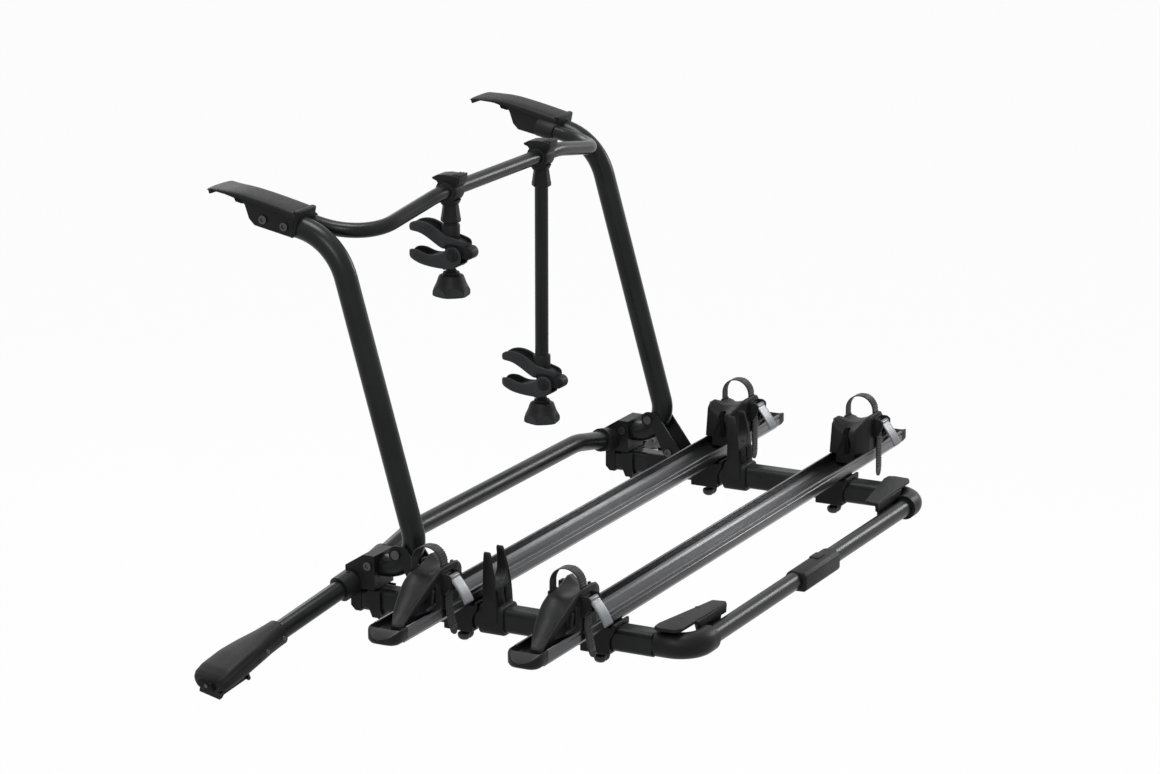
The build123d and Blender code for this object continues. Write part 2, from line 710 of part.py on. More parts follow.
turn_x = SIDE_X - ELBOW_BEND
turn_y = OUTER_BAR_Y + ELBOW_BEND
elbow_mouth = Plane(origin=(SIDE_X, turn_y, TUBE_Z), x_dir=(1, 0, 0), z_dir=(0, -1, 0))
elbow_ring = elbow_mouth * (Circle(ELBOW_R) - Circle(ELBOW_R - SIDE_WALL))
elbow = revolve(elbow_ring, Axis((turn_x, turn_y, TUBE_Z), (0, 0, -1)), 90)
for start, end, bore in (
    ((SIDE_X, turn_y, TUBE_Z), (SIDE_X, SIDE_END_Y, TUBE_Z), ELBOW_R - SIDE_WALL),
    ((turn_x, OUTER_BAR_Y, TUBE_Z), (OUTER_END_X, OUTER_BAR_Y, TUBE_Z), OUTER_R - OUTER_WALL),
):
    elbow += rod(start, end, ELBOW_R) - rod(start, end, bore)
outer_start = (-OUTER_END_X, OUTER_BAR_Y, TUBE_Z)
outer_end = (OUTER_END_X, OUTER_BAR_Y, TUBE_Z)
outer_bar = rod(outer_start, outer_end, OUTER_R)
bore_start = (-OUTER_END_X - OVERRUN, OUTER_BAR_Y, TUBE_Z)
bore_end = (OUTER_END_X + OVERRUN, OUTER_BAR_Y, TUBE_Z)
outer_bar -= rod(bore_start, bore_end, OUTER_R - OUTER_WALL)

sleeve_ends = [(side * SLEEVE_HALF_X, OUTER_BAR_Y, TUBE_Z) for side in (-1, 1)]
sleeve = rod(*sleeve_ends, SLEEVE_R)
sleeve += block(
    -SLEEVE_HALF_X,
    SLEEVE_HALF_X,
    OUTER_BAR_Y - SLEEVE_FACE,
    OUTER_BAR_Y,
    TUBE_Z - SLEEVE_R,
    TUBE_Z + SLEEVE_FACE_HALF,
)
sleeve = fillet(sleeve.edges().filter_by(Axis.X).group_by(Axis.Y)[0], SLEEVE_ROUND)
sleeve -= rod(bore_start, bore_end, OUTER_R + SEAT)

plate_lo_x, plate_hi_x = CORNER_PLATE_X
plate_lo_y, plate_hi_y = CORNER_PLATE_Y
corner_pad = slab_z(
    [
        (plate_lo_x, plate_lo_y + CORNER_CUT),
        (plate_lo_x + CORNER_CUT, plate_lo_y),
        (plate_hi_x, plate_lo_y),
        (plate_hi_x, plate_hi_y - CORNER_CUT),
        (plate_hi_x - CORNER_CUT, plate_hi_y),
        (plate_lo_x, plate_hi_y),
    ],
    CORNER_PLATE_Z,
    CORNER_PLATE_Z + CORNER_PLATE_THICK,
)
web_start = OUTER_BAR_Y + OUTER_R + GAP
corner_pad += block(
    *CORNER_WEB_X,
    web_start,
    web_start + CORNER_WEB_THICK,
    TUBE_Z - OUTER_R / 2,
    CORNER_PLATE_Z + CORNER_PLATE_THICK / 2,
)

# Fold brackets

bracket = None
for face_x in (SIDE_X - BRACKET_IN - BRACKET_THICK, SIDE_X + BRACKET_IN):
    ear = rod((face_x, *pivot), (face_x + BRACKET_THICK, *pivot), BRACKET_R)
    ear += slab_x(
        [
            (PIVOT_Y, PIVOT_Z + BRACKET_R),
            *BRACKET_CROWN,
            (BRACKET_HEEL_Y, BRACKET_OUTER_Z),
            (BRACKET_HEEL_Y, BRACKET_FOOT_Z),
            (BRACKET_TOE_Y, BRACKET_FOOT_Z),
            (BRACKET_TOE_Y, BRACKET_KNEE_Z),
            (BRACKET_INNER_Y, BRACKET_KNEE_Z),
            BRACKET_NECK,
            (PIVOT_Y, PIVOT_Z),
        ],
        face_x,
        face_x + BRACKET_THICK,
    )
    bracket = ear if bracket is None else bracket + ear
bracket += block(
    SIDE_X - BRACKET_IN - BRACKET_THICK,
    SIDE_X + BRACKET_IN + BRACKET_THICK,
    *WEB_Y,
    SIDE_TOP_Z + SEAT,
    SIDE_TOP_Z + SEAT + WEB_THICK,
)
bracket -= cross_rod(*pivot, CAST_HALF, BOLT_R + RUN)

# Fork clips

clip = side_length(CLIP_SLEEVE_WALL, CLIP_Y - CLIP_SLEEVE_HALF, CLIP_Y + CLIP_SLEEVE_HALF)
clip += slab_y(
    [
        (SIDE_X - CLIP_OUT, TUBE_Z),
        (SIDE_X + CLIP_OUT, TUBE_Z),
        (SIDE_X + CLIP_OUT, CLIP_CUP_Z),
        (SIDE_X + CLIP_TIP_OUT, CLIP_TOP_Z),
        (SIDE_X - CLIP_TIP_OUT, CLIP_TOP_Z),
        (SIDE_X - CLIP_OUT, CLIP_CUP_Z),
    ],
    CLIP_Y - CLIP_FORK_HALF,
    CLIP_Y + CLIP_FORK_HALF,
)
clip_lo = CLIP_Y - CLIP_SLEEVE_HALF - OVERRUN
clip_hi = CLIP_Y + CLIP_SLEEVE_HALF + OVERRUN
clip -= rod((UPRIGHT_X, clip_lo, CLIP_CUP_Z), (UPRIGHT_X, clip_hi, CLIP_CUP_Z), CLIP_CUP_R)
clip -= block(
    UPRIGHT_X - CLIP_CUP_R,
    UPRIGHT_X + CLIP_CUP_R,
    clip_lo,
    clip_hi,
    CLIP_CUP_Z,
    CLIP_TOP_Z + OVERRUN,
)
clip -= side_length(SEAT, clip_lo, clip_hi)

# Latches

latch_lo, latch_hi = LATCH_Y
latch_out = LATCH_IN + LATCH_THICK
latch = block(
    SIDE_X - latch_out,
    SIDE_X + latch_out,
    latch_lo,
    LATCH_FLOOR_Y,
    LATCH_FLOOR_Z - LATCH_FLOOR_THICK,
    LATCH_FLOOR_Z,
)
for face_x in (SIDE_X - latch_out, SIDE_X + LATCH_IN):
    latch += slab_x(
        [
            (latch_lo, LATCH_FLOOR_Z - LATCH_FLOOR_THICK),
            (LATCH_FLOOR_Y, LATCH_FLOOR_Z - LATCH_FLOOR_THICK),
            (latch_hi, TUBE_Z),
            (latch_hi, LATCH_TOP_Z - LATCH_FLOOR_THICK),
            (latch_hi - LATCH_FLOOR_THICK, LATCH_TOP_Z),
            (latch_lo, LATCH_TOP_Z),
        ],
        face_x,
        face_x + LATCH_THICK,
    )
latch += block(
    SIDE_X - LATCH_TOE_HALF,
    SIDE_X + LATCH_TOE_HALF,
    *LATCH_TOE_Y,
    LATCH_TOE_Z,
    LATCH_FLOOR_Z - LATCH_FLOOR_THICK / 2,
)
latch += cross_rod(LATCH_PIN_Y, TUBE_Z, latch_out, LATCH_PIN_R)

# Wheel trays, their end caps, saddles and wing knobs


def tray_outline(y):
    """Channel profile of a tray about its middle line."""
    inner = TRAY_HALF_Y - TRAY_WALL
    right_side = [
        (TRAY_FOOT, 0),
        (TRAY_HALF_Y, TRAY_KNEE),
        (TRAY_HALF_Y, TRAY_H),
        (inner, TRAY_H),
        (inner, TRAY_KNEE + TRAY_FLOOR / 2),
        (TRAY_FOOT - TRAY_WALL, TRAY_FLOOR),
    ]
    left_side = [(-a, b) for a, b in reversed(right_side)]
    return [(y + a, TRAY_Z + b) for a, b in right_side + left_side]


def make_tray(y):
    """Long channel that a bike's wheels stand in."""
    return slab_x(tray_outline(y), -TRAY_HALF_X, TRAY_HALF_X)


def make_cap(y):
    """Rounded nose at the tray's +X end, with its plug inside the channel."""
    nose_x = TRAY_HALF_X + CAP_LENGTH
    top = TRAY_TOP_Z - CAP_TOP_DROP
    turn_x = nose_x - TRAY_HALF_Y
    plan = block(TRAY_HALF_X, turn_x, y - TRAY_HALF_Y, y + TRAY_HALF_Y, TRAY_Z, TRAY_TOP_Z)
    plan += rod((turn_x, y, TRAY_Z), (turn_x, y, TRAY_TOP_Z), TRAY_HALF_Y)
    side_view = slab_y(
        [
            (TRAY_HALF_X, TRAY_Z),
            (turn_x, TRAY_Z),
            (nose_x, TRAY_Z + CAP_ROUND),
            (nose_x, top - CAP_ROUND),
            (turn_x, top),
            (TRAY_HALF_X, TRAY_TOP_Z),
        ],
        y - TRAY_HALF_Y,
        y + TRAY_HALF_Y,
    )
    nose = plan & side_view
    floor_z = TRAY_Z + TRAY_FLOOR
    slot_half = KEY_HALF - TRAY_WALL
    nose -= block(TRAY_HALF_X, TRAY_HALF_X + CAP_SLOT, y - slot_half, y + slot_half, floor_z, TRAY_TOP_Z)
    plug_half = TRAY_FOOT - TRAY_WALL
    nose += block(
        TRAY_HALF_X - TRAY_PAST_HOLDER + CAP_PLUG_GAP,
        TRAY_HALF_X,
        y - plug_half,
        y + plug_half,
        floor_z + SEAT,
        TRAY_Z + TRAY_KNEE,
    )
    return nose


def make_saddle(y):
    """Ring on the side tube that carries a tray, with ears beside the tray."""
    floor = SIDE_BOTTOM_Z - SADDLE_FLOOR
    lo = y - SADDLE_HALF_Y
    hi = y + SADDLE_HALF_Y
    ring = block(SIDE_X - SADDLE_OUT, SIDE_X + SADDLE_OUT, lo, hi, floor, SADDLE_TOP_Z)
    ear_in = TRAY_HALF_Y + GAP
    for side in (-1, 1):
        ear_edge = y + side * (ear_in + EAR_THICK)
        ring += slab_x(
            [
                (y + side * SADDLE_HALF_Y, TUBE_Z),
                (ear_edge, TRAY_Z - EAR_THICK),
                (ear_edge, EAR_TOP_Z),
                (y + side * ear_in, EAR_TOP_Z),
                (y + side * ear_in, SADDLE_TOP_Z),
                (y + side * SADDLE_HALF_Y, SADDLE_TOP_Z),
            ],
            SIDE_X - SADDLE_OUT,
            SIDE_X + SADDLE_OUT,
        )
    reach = SADDLE_HALF_Y + 2 * EAR_THICK + OVERRUN
    return ring - side_length(SEAT, y - reach, y + reach)


def make_knob(y):
    """Wing knob under a saddle."""
    top = SIDE_BOTTOM_Z - SADDLE_FLOOR - RUN
    low = top - KNOB_STEM
    base = low - KNOB_H
    knob = rod((SIDE_X, y, low), (SIDE_X, y, top), KNOB_STEM_R)
    knob += rod((SIDE_X, y, base), (SIDE_X, y, low), KNOB_HUB_R)
    wings = block(
        SIDE_X - KNOB_WING_THICK,
        SIDE_X + KNOB_WING_THICK,
        y - KNOB_WING,
        y + KNOB_WING,
        base,
        low,
    )
    return knob + fillet(wings.edges().filter_by(Axis.X), KNOB_H / 4)


# Wheel holders with their straps and buckles, made for the +X end


def make_holder(y):
    """Wedge that cradles a wheel, with the buckle's cheeks on its near side."""
    seat_z = TRAY_TOP_Z + GAP
    slope_x = HOLDER_OUT_X - HOLDER_CROWN_X
    slope_z = HOLDER_CROWN_Z - HOLDER_TOE_Z
    scoop = []
    for share in SCOOP_SHARES:
        sag = HOLDER_SCOOP * 4 * share * (1 - share)
        scoop.append((HOLDER_CROWN_X + slope_x * share - sag, HOLDER_CROWN_Z - slope_z * share - sag))
    side_view = [
        (HOLDER_IN_X, TRAY_Z + TRAY_FLOOR),
        (HOLDER_LEAN_X, HOLDER_SHOULDER_Z),
        (HOLDER_LEAN_X + NOTCH_DEPTH, HOLDER_CROWN_Z),
        *scoop,
        (HOLDER_OUT_X, TRAY_Z + TRAY_FLOOR),
    ]
    wedge = slab_y(side_view, y - HOLDER_HALF, y + HOLDER_HALF)
    key_floor = TRAY_Z + TRAY_FLOOR + GAP
    above = slab_z(
        [
            (HOLDER_IN_X, y - HOLDER_HALF),
            (HOLDER_CROWN_X, y - HOLDER_HALF),
            (HOLDER_OUT_X, y - HOLDER_TOE_HALF),
            (HOLDER_OUT_X, y + HOLDER_TOE_HALF),
            (HOLDER_CROWN_X, y + HOLDER_HALF),
            (HOLDER_IN_X, y + HOLDER_HALF),
        ],
        seat_z,
        HOLDER_CROWN_Z,
    )
    knee_z = TRAY_Z + TRAY_KNEE + TRAY_FLOOR / 2 + GAP
    key = slab_x(
        [
            (y - KEY_FOOT, key_floor),
            (y + KEY_FOOT, key_floor),
            (y + KEY_HALF, knee_z),
            (y + KEY_HALF, seat_z),
            (y - KEY_HALF, seat_z),
            (y - KEY_HALF, knee_z),
        ],
        HOLDER_IN_X,
        HOLDER_OUT_X,
    )
    key &= slab_z(
        [
            (HOLDER_IN_X, y - KEY_HALF),
            (HOLDER_CROWN_X, y - KEY_HALF),
            (HOLDER_OUT_X, y - HOLDER_TOE_HALF),
            (HOLDER_OUT_X, y + HOLDER_TOE_HALF),
            (HOLDER_CROWN_X, y + KEY_HALF),
            (HOLDER_IN_X, y + KEY_HALF),
        ],
        key_floor,
        seat_z,
    )
    body = wedge & (above + key)
    body -= slab_x(
        [
            (y - NOTCH_HALF, HOLDER_CROWN_Z + SEAT),
            (y, HOLDER_CROWN_Z - NOTCH_DEPTH),
            (y + NOTCH_HALF, HOLDER_CROWN_Z + SEAT),
        ],
        HOLDER_IN_X - OVERRUN,
        HOLDER_OUT_X,
    )
    body -= block(
        HOLDER_IN_X - OVERRUN,
        HOLDER_IN_X + GROOVE_DEPTH,
        y - GROOVE_HALF,
        y + GROOVE_HALF,
        seat_z,
        HOLDER_SHOULDER_Z - NOTCH_DEPTH,
    )
    strap_lo = STRAP_X - STRAP_HALF - GAP
    strap_hi = STRAP_X + STRAP_HALF + GAP
    leg = STRAP_THICK / 2 + GAP
    top = HOLDER_CROWN_Z + OVERRUN
    body -= block(strap_lo, strap_hi, y + STRAP_REACH - leg, y + STRAP_REACH + leg, STRAP_FOOT_Z, top)
    body -= block(strap_lo, strap_hi, y - STRAP_OUT, y - STRAP_REACH + leg, STRAP_HIP_Z - OVERRUN, top)
    pocket_lo = STRAP_X + BUCKLE_HALF + 2 * BUCKLE_WALL
    body -= slab_y(
        [
            (pocket_lo, seat_z + BUCKLE_WALL),
            (pocket_lo, HOLDER_CROWN_Z - 2 * HOLDER_RIB),
            (HOLDER_OUT_X - 2 * HOLDER_RIB, seat_z + BUCKLE_WALL),
        ],
        y - HOLDER_HALF - OVERRUN,
        y - HOLDER_HALF + POCKET_DEPTH,
    )
    for cheek_x in (STRAP_X - BUCKLE_HALF - BUCKLE_WALL, STRAP_X + BUCKLE_HALF):
        body += block(
            cheek_x,
            cheek_x + BUCKLE_WALL,
            y - BUCKLE_OUT,
            y - HOLDER_HALF + BUCKLE_WALL,
            *BUCKLE_Z,
        )
    return body + cross_rod(y - LEVER_PIN_Y, LEVER_PIN_Z, BUCKLE_HALF + BUCKLE_WALL, LEVER_PIN_R, STRAP_X)


def make_strap(y):
    """Toothed strap: far leg, arch over the wheel, near leg through the buckle and a hanging tail."""
    half = STRAP_THICK / 2
    start = STRAP_X - STRAP_HALF
    end = STRAP_X + STRAP_HALF
    far = y + STRAP_REACH
    near = y - STRAP_REACH
    out = y - STRAP_OUT
    strap = block(start, end, far - half, far + half, STRAP_FOOT_Z, STRAP_ARCH_Z)
    arch = rod((start, y, STRAP_ARCH_Z), (end, y, STRAP_ARCH_Z), STRAP_REACH + half)
    arch -= rod((start, y, STRAP_ARCH_Z), (end, y, STRAP_ARCH_Z), STRAP_REACH - half)
    below = STRAP_ARCH_Z - 2 * STRAP_REACH
    arch -= block(start, end, near - STRAP_THICK, far + STRAP_THICK, below, STRAP_ARCH_Z)
    near_leg = slab_x(
        [
            (near + half, STRAP_ARCH_Z),
            (out + half, STRAP_HIP_Z),
            (out + half, STRAP_TAIL_Z),
            (out - half, STRAP_TAIL_Z),
            (out - half, STRAP_HIP_Z),
            (near - half, STRAP_ARCH_Z),
        ],
        start,
        end,
    )
    return strap + arch + near_leg


def make_lever(y):
    """Buckle's release lever, hanging from its barrel."""
    pin_y = y - LEVER_PIN_Y
    out_y = math.cos(math.radians(LEVER_DROP))
    down_z = math.sin(math.radians(LEVER_DROP))
    lever = cross_rod(pin_y, LEVER_PIN_Z, BUCKLE_HALF - GAP, LEVER_BARREL_R, STRAP_X)
    side_y = down_z * LEVER_THICK / 2
    side_z = out_y * LEVER_THICK / 2
    tip_y = pin_y - out_y * LEVER_LENGTH
    tip_z = LEVER_PIN_Z - down_z * LEVER_LENGTH
    lever += slab_x(
        [
            (pin_y - side_y, LEVER_PIN_Z + side_z),
            (tip_y - side_y, tip_z + side_z),
            (tip_y + side_y, tip_z - side_z),
            (pin_y + side_y, LEVER_PIN_Z - side_z),
        ],
        STRAP_X - BUCKLE_HALF + GAP,
        STRAP_X + BUCKLE_HALF - GAP,
    )
    return lever - cross_rod(pin_y, LEVER_PIN_Z, BUCKLE_HALF + OVERRUN, LEVER_PIN_R + RUN, STRAP_X)


# Bike arms


def make_liner(x):
    """Thin sleeve between the bar and an arm's clamp."""
    liner = cross_rod(BAR_Y, BAR_Z, CLAMP_HALF, LINER_R, x)
    return liner - cross_rod(BAR_Y, BAR_Z, CLAMP_HALF + OVERRUN, BAR_R + RUN, x)


def make_clamp(x):
    """Clamp that holds an arm on the bar, with its top plate and collar."""
    clamp = cross_rod(BAR_Y, BAR_Z, CLAMP_HALF, CLAMP_R, x)
    plate_lo, plate_hi = CLAMP_PLATE_Y
    clamp += block(
        x - CLAMP_HALF,
        x + CLAMP_HALF,
        BAR_Y + plate_lo,
        BAR_Y + plate_hi,
        BAR_Z + CLAMP_TOP - CLAMP_TOP_THICK,
        BAR_Z + CLAMP_TOP,
    )
    clamp += rod((x, ARM_Y, CLAMP_NECK_Z), (x, ARM_Y, BAR_Z), CLAMP_NECK_R)
    clamp += rod((x, ARM_Y, CLAMP_NECK_Z), (x, ARM_Y, CLAMP_NECK_Z + CLAMP_COLLAR), CLAMP_COLLAR_R)
    clamp -= cross_rod(BAR_Y, BAR_Z, CLAMP_HALF + OVERRUN, LINER_R + RUN, x)
    bore_low = (x, ARM_Y, CLAMP_NECK_Z - OVERRUN)
    return clamp - rod(bore_low, (x, ARM_Y, ARM_TOP_Z + SEAT), ARM_R + RUN)


def make_arm_tube(x, pivot_z):
    """Round tube between the clamp and the jaws."""
    low = pivot_z + TUBE_SEAT_Z
    tube = rod((x, ARM_Y, low), (x, ARM_Y, ARM_TOP_Z), ARM_R)
    bore = rod((x, ARM_Y, low - OVERRUN), (x, ARM_Y, ARM_TOP_Z + OVERRUN), ARM_R - ARM_WALL)
    return tube - bore


def jaw_slab(shares, x, pivot_z, half):
    """Jaw outline extruded across the arm."""
    points = [(ARM_Y + a * JAW_REACH, pivot_z + b * JAW_REACH) for a, b in shares]
    return slab_x(points, x - half, x + half)


def make_upper_jaw(x, pivot_z):
    """Fixed jaw on the arm's end, with the pivot pin and the rear barrel."""
    pin_y = ARM_Y + JAW_PIVOT_Y
    split_y = ARM_Y + JAW_SPLIT_Y
    span = 2 * JAW_REACH
    front = jaw_slab(UPPER_JAW_SHARES, x, pivot_z, JAW_HALF)
    front &= block(x - JAW_HALF, x + JAW_HALF, split_y, split_y + span, pivot_z - span, pivot_z + span)
    jaw = jaw_slab(UPPER_JAW_SHARES, x, pivot_z, JAW_CORE) + front
    jaw += cross_rod(pin_y, pivot_z, JAW_CORE, JAW_HUB_R, x)
    jaw += cross_rod(ARM_Y + BARREL_Y, pivot_z + BARREL_Z, JAW_CORE, BARREL_R, x)
    neck_low, neck_top = NECK_Z
    jaw += rod((x, ARM_Y, pivot_z + neck_low), (x, ARM_Y, pivot_z + neck_top), NECK_R)
    seat = (x, ARM_Y, pivot_z + TUBE_SEAT_Z - SEAT)
    jaw -= rod(seat, (x, ARM_Y, pivot_z + span), ARM_R + SEAT)
    return jaw + cross_rod(pin_y, pivot_z, JAW_HALF, JAW_PIN_R, x)


def make_lower_jaw(x, pivot_z):
    """Moving jaw with a cheek on each side of the upper jaw's hub."""
    pin_y = ARM_Y + JAW_PIVOT_Y
    split_y = ARM_Y + JAW_SPLIT_Y
    span = 2 * JAW_REACH
    jaw = jaw_slab(LOWER_JAW_SHARES, x, pivot_z, JAW_HALF)
    jaw += cross_rod(pin_y, pivot_z, JAW_HALF, JAW_CHEEK_R, x)
    core = JAW_CORE + GAP
    core_cut = block(
        x - core,
        x + core,
        ARM_Y - span,
        split_y,
        pivot_z + JAW_BRIDGE_Z,
        pivot_z + span,
    )
    jaw -= core_cut
    jaw -= cross_rod(pin_y, pivot_z, core, JAW_CHEEK_R + GAP, x)
    return jaw - cross_rod(pin_y, pivot_z, JAW_HALF + OVERRUN, JAW_PIN_R + RUN, x)


def make_grip(x, pivot_z):
    """Tightening knob under the jaws: a turned body with scallops around it."""
    top = pivot_z + GRIP_TOP_Z
    shoulder = top - GRIP_NECK
    base = shoulder - GRIP_H
    profile = [
        (0, top),
        (GRIP_NECK_R, top),
        (GRIP_NECK_R, shoulder),
        (GRIP_TOP_R, shoulder),
        (GRIP_R, base + GRIP_RIM),
        (GRIP_R, base + GRIP_RIM / 5),
        (GRIP_R - GRIP_RIM / 5, base),
        (0, base),
    ]
    face = Plane.XZ * Polygon(*profile, align=None)
    grip = Pos(x, ARM_Y, 0) * revolve(face, Axis.Z)
    for index in range(GRIP_SCALLOPS):
        turn = math.radians(360 / GRIP_SCALLOPS * (index + 1 / 2))
        reach = GRIP_R + GRIP_SCALLOP_R - GRIP_SCALLOP_IN
        place = (x + reach * math.cos(turn), ARM_Y + reach * math.sin(turn))
        grip -= rod((*place, base - OVERRUN), (*place, shoulder + OVERRUN), GRIP_SCALLOP_R)
    return grip


# Screws on the frame and on the platform

frame_screws = []
for s in SCREW_S_LIST:
    seat_y, seat_z = hook_point(s, SCREW_DROP)
    frame_screws.append(screw((HOOK_X + HOOK_HALF, seat_y, seat_z), (1, 0, 0)))
screw_seat_x = SIDE_X + CAST_HALF
frame_screws.append(screw((screw_seat_x, *CAST_SCREW), (1, 0, 0)))
inner_seat_x = SIDE_X - CAST_HALF
frame_screws.append(screw((inner_seat_x, *CAST_SCREW), (-1, 0, 0)))

platform_screws = []
bracket_face = SIDE_X - BRACKET_IN - BRACKET_THICK
bracket_far_face = SIDE_X + BRACKET_IN + BRACKET_THICK
platform_screws.append(screw((bracket_face, *BRACKET_SCREW), (-1, 0, 0)))
platform_screws.append(screw((bracket_far_face, *BRACKET_SCREW), (1, 0, 0)))

# Writing the parts

pieces = {
    "uprights": both(upright),
    "hook_plates": both(hook_plate),
    "hook_housings": both(housing),
    "hook_pads": both(hook_pad),
    "bike_bar": bike_bar,
    "lower_bar": lower_bar,
    "hinge_castings": both(casting),
    "pivot_bolts": both(pivot_bolt),
    "frame_screws": both(group(frame_screws)),
    "right_side_tube": side_tube,
    "left_side_tube": mirror(side_tube, about=Plane.YZ),
    "outer_bar": outer_bar,
    "corner_elbows": both(elbow),
    "bar_sleeve": sleeve,
    "corner_plates": both(corner_pad),
    "fold_brackets": both(bracket),
    "fork_clips": both(clip),
    "platform_screws": both(group(platform_screws)),
    "right_latch": latch,
    "left_latch": mirror(latch, about=Plane.YZ),
    "right_foot_tube": foot_tube,
    "left_foot_tube": mirror(foot_tube, about=Plane.YZ),
    "right_foot_shell": shell,
    "left_foot_shell": mirror(shell, about=Plane.YZ),
    "right_foot_claw": claw,
    "left_foot_claw": mirror(claw, about=Plane.YZ),
}

for row, tray_y in (("inner", INNER_TRAY_Y), ("outer", OUTER_TRAY_Y)):
    pieces[row + "_tray"] = make_tray(tray_y)
    pieces[row + "_tray_caps"] = both(make_cap(tray_y))
    pieces[row + "_saddles"] = both(make_saddle(tray_y))
    right_side = {
        "_tray_knob": make_knob(tray_y),
        "_wheel_holder": make_holder(tray_y),
        "_strap": make_strap(tray_y),
        "_buckle_lever": make_lever(tray_y),
    }
    for name, shape in right_side.items():
        pieces[row + "_right" + name] = shape
        pieces[row + "_left" + name] = mirror(shape, about=Plane.YZ)

for arm, arm_x, pivot_z in (("short", SHORT_ARM_X, SHORT_PIVOT_Z), ("long", LONG_ARM_X, LONG_PIVOT_Z)):
    pieces[arm + "_arm_liner"] = make_liner(arm_x)
    pieces[arm + "_arm_clamp"] = make_clamp(arm_x)
    pieces[arm + "_arm_tube"] = make_arm_tube(arm_x, pivot_z)
    pieces[arm + "_upper_jaw"] = make_upper_jaw(arm_x, pivot_z)
    pieces[arm + "_lower_jaw"] = make_lower_jaw(arm_x, pivot_z)
    pieces[arm + "_arm_knob"] = make_grip(arm_x, pivot_z)

os.makedirs("parts", exist_ok=True)
for name, shape in pieces.items():
    placed = Compound(children=[solid.moved(Location(-ORIGIN)) for solid in shape.solids()])
    export_step(placed, os.path.join("parts", name + ".step"))
print(len(pieces), "nodes; row origin at", ORIGIN)
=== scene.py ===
# %% [markdown]
# # A bike rack that hangs on a tailgate
# The rack is two leaning uprights with hooks on top, a folding platform with two wheel trays,
# and two arms that clamp the bikes' frames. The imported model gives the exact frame, and this
# script dresses it: moulded pieces get their rounded shapes, and every surface gets its finish.

# %% Load the frame
import json
import math

import bmesh
import bpy
import numpy as np
from mathutils import Matrix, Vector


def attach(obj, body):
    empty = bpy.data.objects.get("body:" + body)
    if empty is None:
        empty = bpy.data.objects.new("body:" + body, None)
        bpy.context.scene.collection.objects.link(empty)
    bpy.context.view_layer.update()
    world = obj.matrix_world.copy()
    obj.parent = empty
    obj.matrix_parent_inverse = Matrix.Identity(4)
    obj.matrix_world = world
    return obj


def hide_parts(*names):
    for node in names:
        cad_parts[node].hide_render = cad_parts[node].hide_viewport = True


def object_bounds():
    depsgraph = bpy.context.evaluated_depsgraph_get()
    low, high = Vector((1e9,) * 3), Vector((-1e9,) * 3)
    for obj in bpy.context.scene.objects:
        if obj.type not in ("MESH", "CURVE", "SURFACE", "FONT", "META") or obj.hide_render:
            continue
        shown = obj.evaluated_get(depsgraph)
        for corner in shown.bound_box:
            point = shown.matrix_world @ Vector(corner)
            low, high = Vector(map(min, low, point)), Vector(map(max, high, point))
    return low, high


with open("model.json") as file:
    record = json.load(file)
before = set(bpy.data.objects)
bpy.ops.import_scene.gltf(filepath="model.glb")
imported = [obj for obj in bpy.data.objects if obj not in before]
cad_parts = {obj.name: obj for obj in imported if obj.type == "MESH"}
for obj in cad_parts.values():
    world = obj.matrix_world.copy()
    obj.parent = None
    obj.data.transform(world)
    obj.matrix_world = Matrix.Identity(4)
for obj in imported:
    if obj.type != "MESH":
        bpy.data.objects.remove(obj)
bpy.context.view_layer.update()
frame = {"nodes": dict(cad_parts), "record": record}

# %% [markdown]
# ## Places in millimetres
# The rack was measured from the middle plane, with Y zero near the fold hinges and Z zero close
# to the platform's underside. The row's origin lies between the hooks, so each place is moved there.

# %% Places
EDGE_Y = 270.019            # row origin in the measuring frame
EDGE_Z = 556.807
MM = 0.001


def place(points):
    """Millimetre points of the measuring frame as metres in the row's frame."""
    moved = np.asarray(points, float) - np.array([0.0, EDGE_Y, EDGE_Z])
    return moved * MM


def facing(x, y, z):
    """Turn whose columns are the three axes."""
    return Matrix(np.stack([x, y, z], -1).tolist()).to_4x4()


SIDES = {"left": -1.0, "right": 1.0}
TRAY_Y = {"inner": -108.0, "outer": -316.0}
TRAY_ENDS = [(row + "_" + side_name, y, side)
             for row, y in TRAY_Y.items() for side_name, side in SIDES.items()]
print("measuring frame set,", len(TRAY_ENDS), "tray ends")

# %% [markdown]
# ## Camera
# The photograph was taken from the rack's left and outer side with a long lens. The camera's
# place and lens were worked out from the rack's own parallel tubes.

# %% Camera
AZIMUTH = math.radians(-62.77)
ELEVATION = math.radians(14.95)
CAMERA_AT = (-4739.53, -2522.16, 1652.25)
FOCAL_PX = 3842.65
PHOTO_W = 1160.0
SENSOR = 36.0
FAR_CLIP = 60.0

camera_data = bpy.data.cameras.new("camera")
camera_data.sensor_fit = "HORIZONTAL"
camera_data.sensor_width = SENSOR
camera_data.lens = FOCAL_PX * SENSOR / PHOTO_W
camera_data.clip_end = FAR_CLIP
camera = bpy.data.objects.new("camera", camera_data)
back = np.array([
    math.sin(AZIMUTH) * math.cos(ELEVATION),
    -math.cos(AZIMUTH) * math.cos(ELEVATION),
    math.sin(ELEVATION),
])
right = np.array([math.cos(AZIMUTH), math.sin(AZIMUTH), 0.0])
camera.matrix_world = Matrix.Translation(place(CAMERA_AT)) @ facing(right, np.cross(back, right), back)
bpy.context.scene.collection.objects.link(camera)
bpy.context.scene.camera = camera
print("lens", round(camera_data.lens, 2), "mm")

# %% [markdown]
# ## Finishes
# Every finish is worked out from the object's own coordinates: a slow noise varies the colour and
# the roughness a little, as handling and dust do, and a fine one gives the surface its grain.

# %% Finish builder
BLOTCH_SCALE = 22.0
BUMP_HEIGHT = 0.0003
RAMP_ENDS = (0.3, 0.7)
NOISE_SUM = (0.6, 1.4)      # usual least and greatest sum of both noises


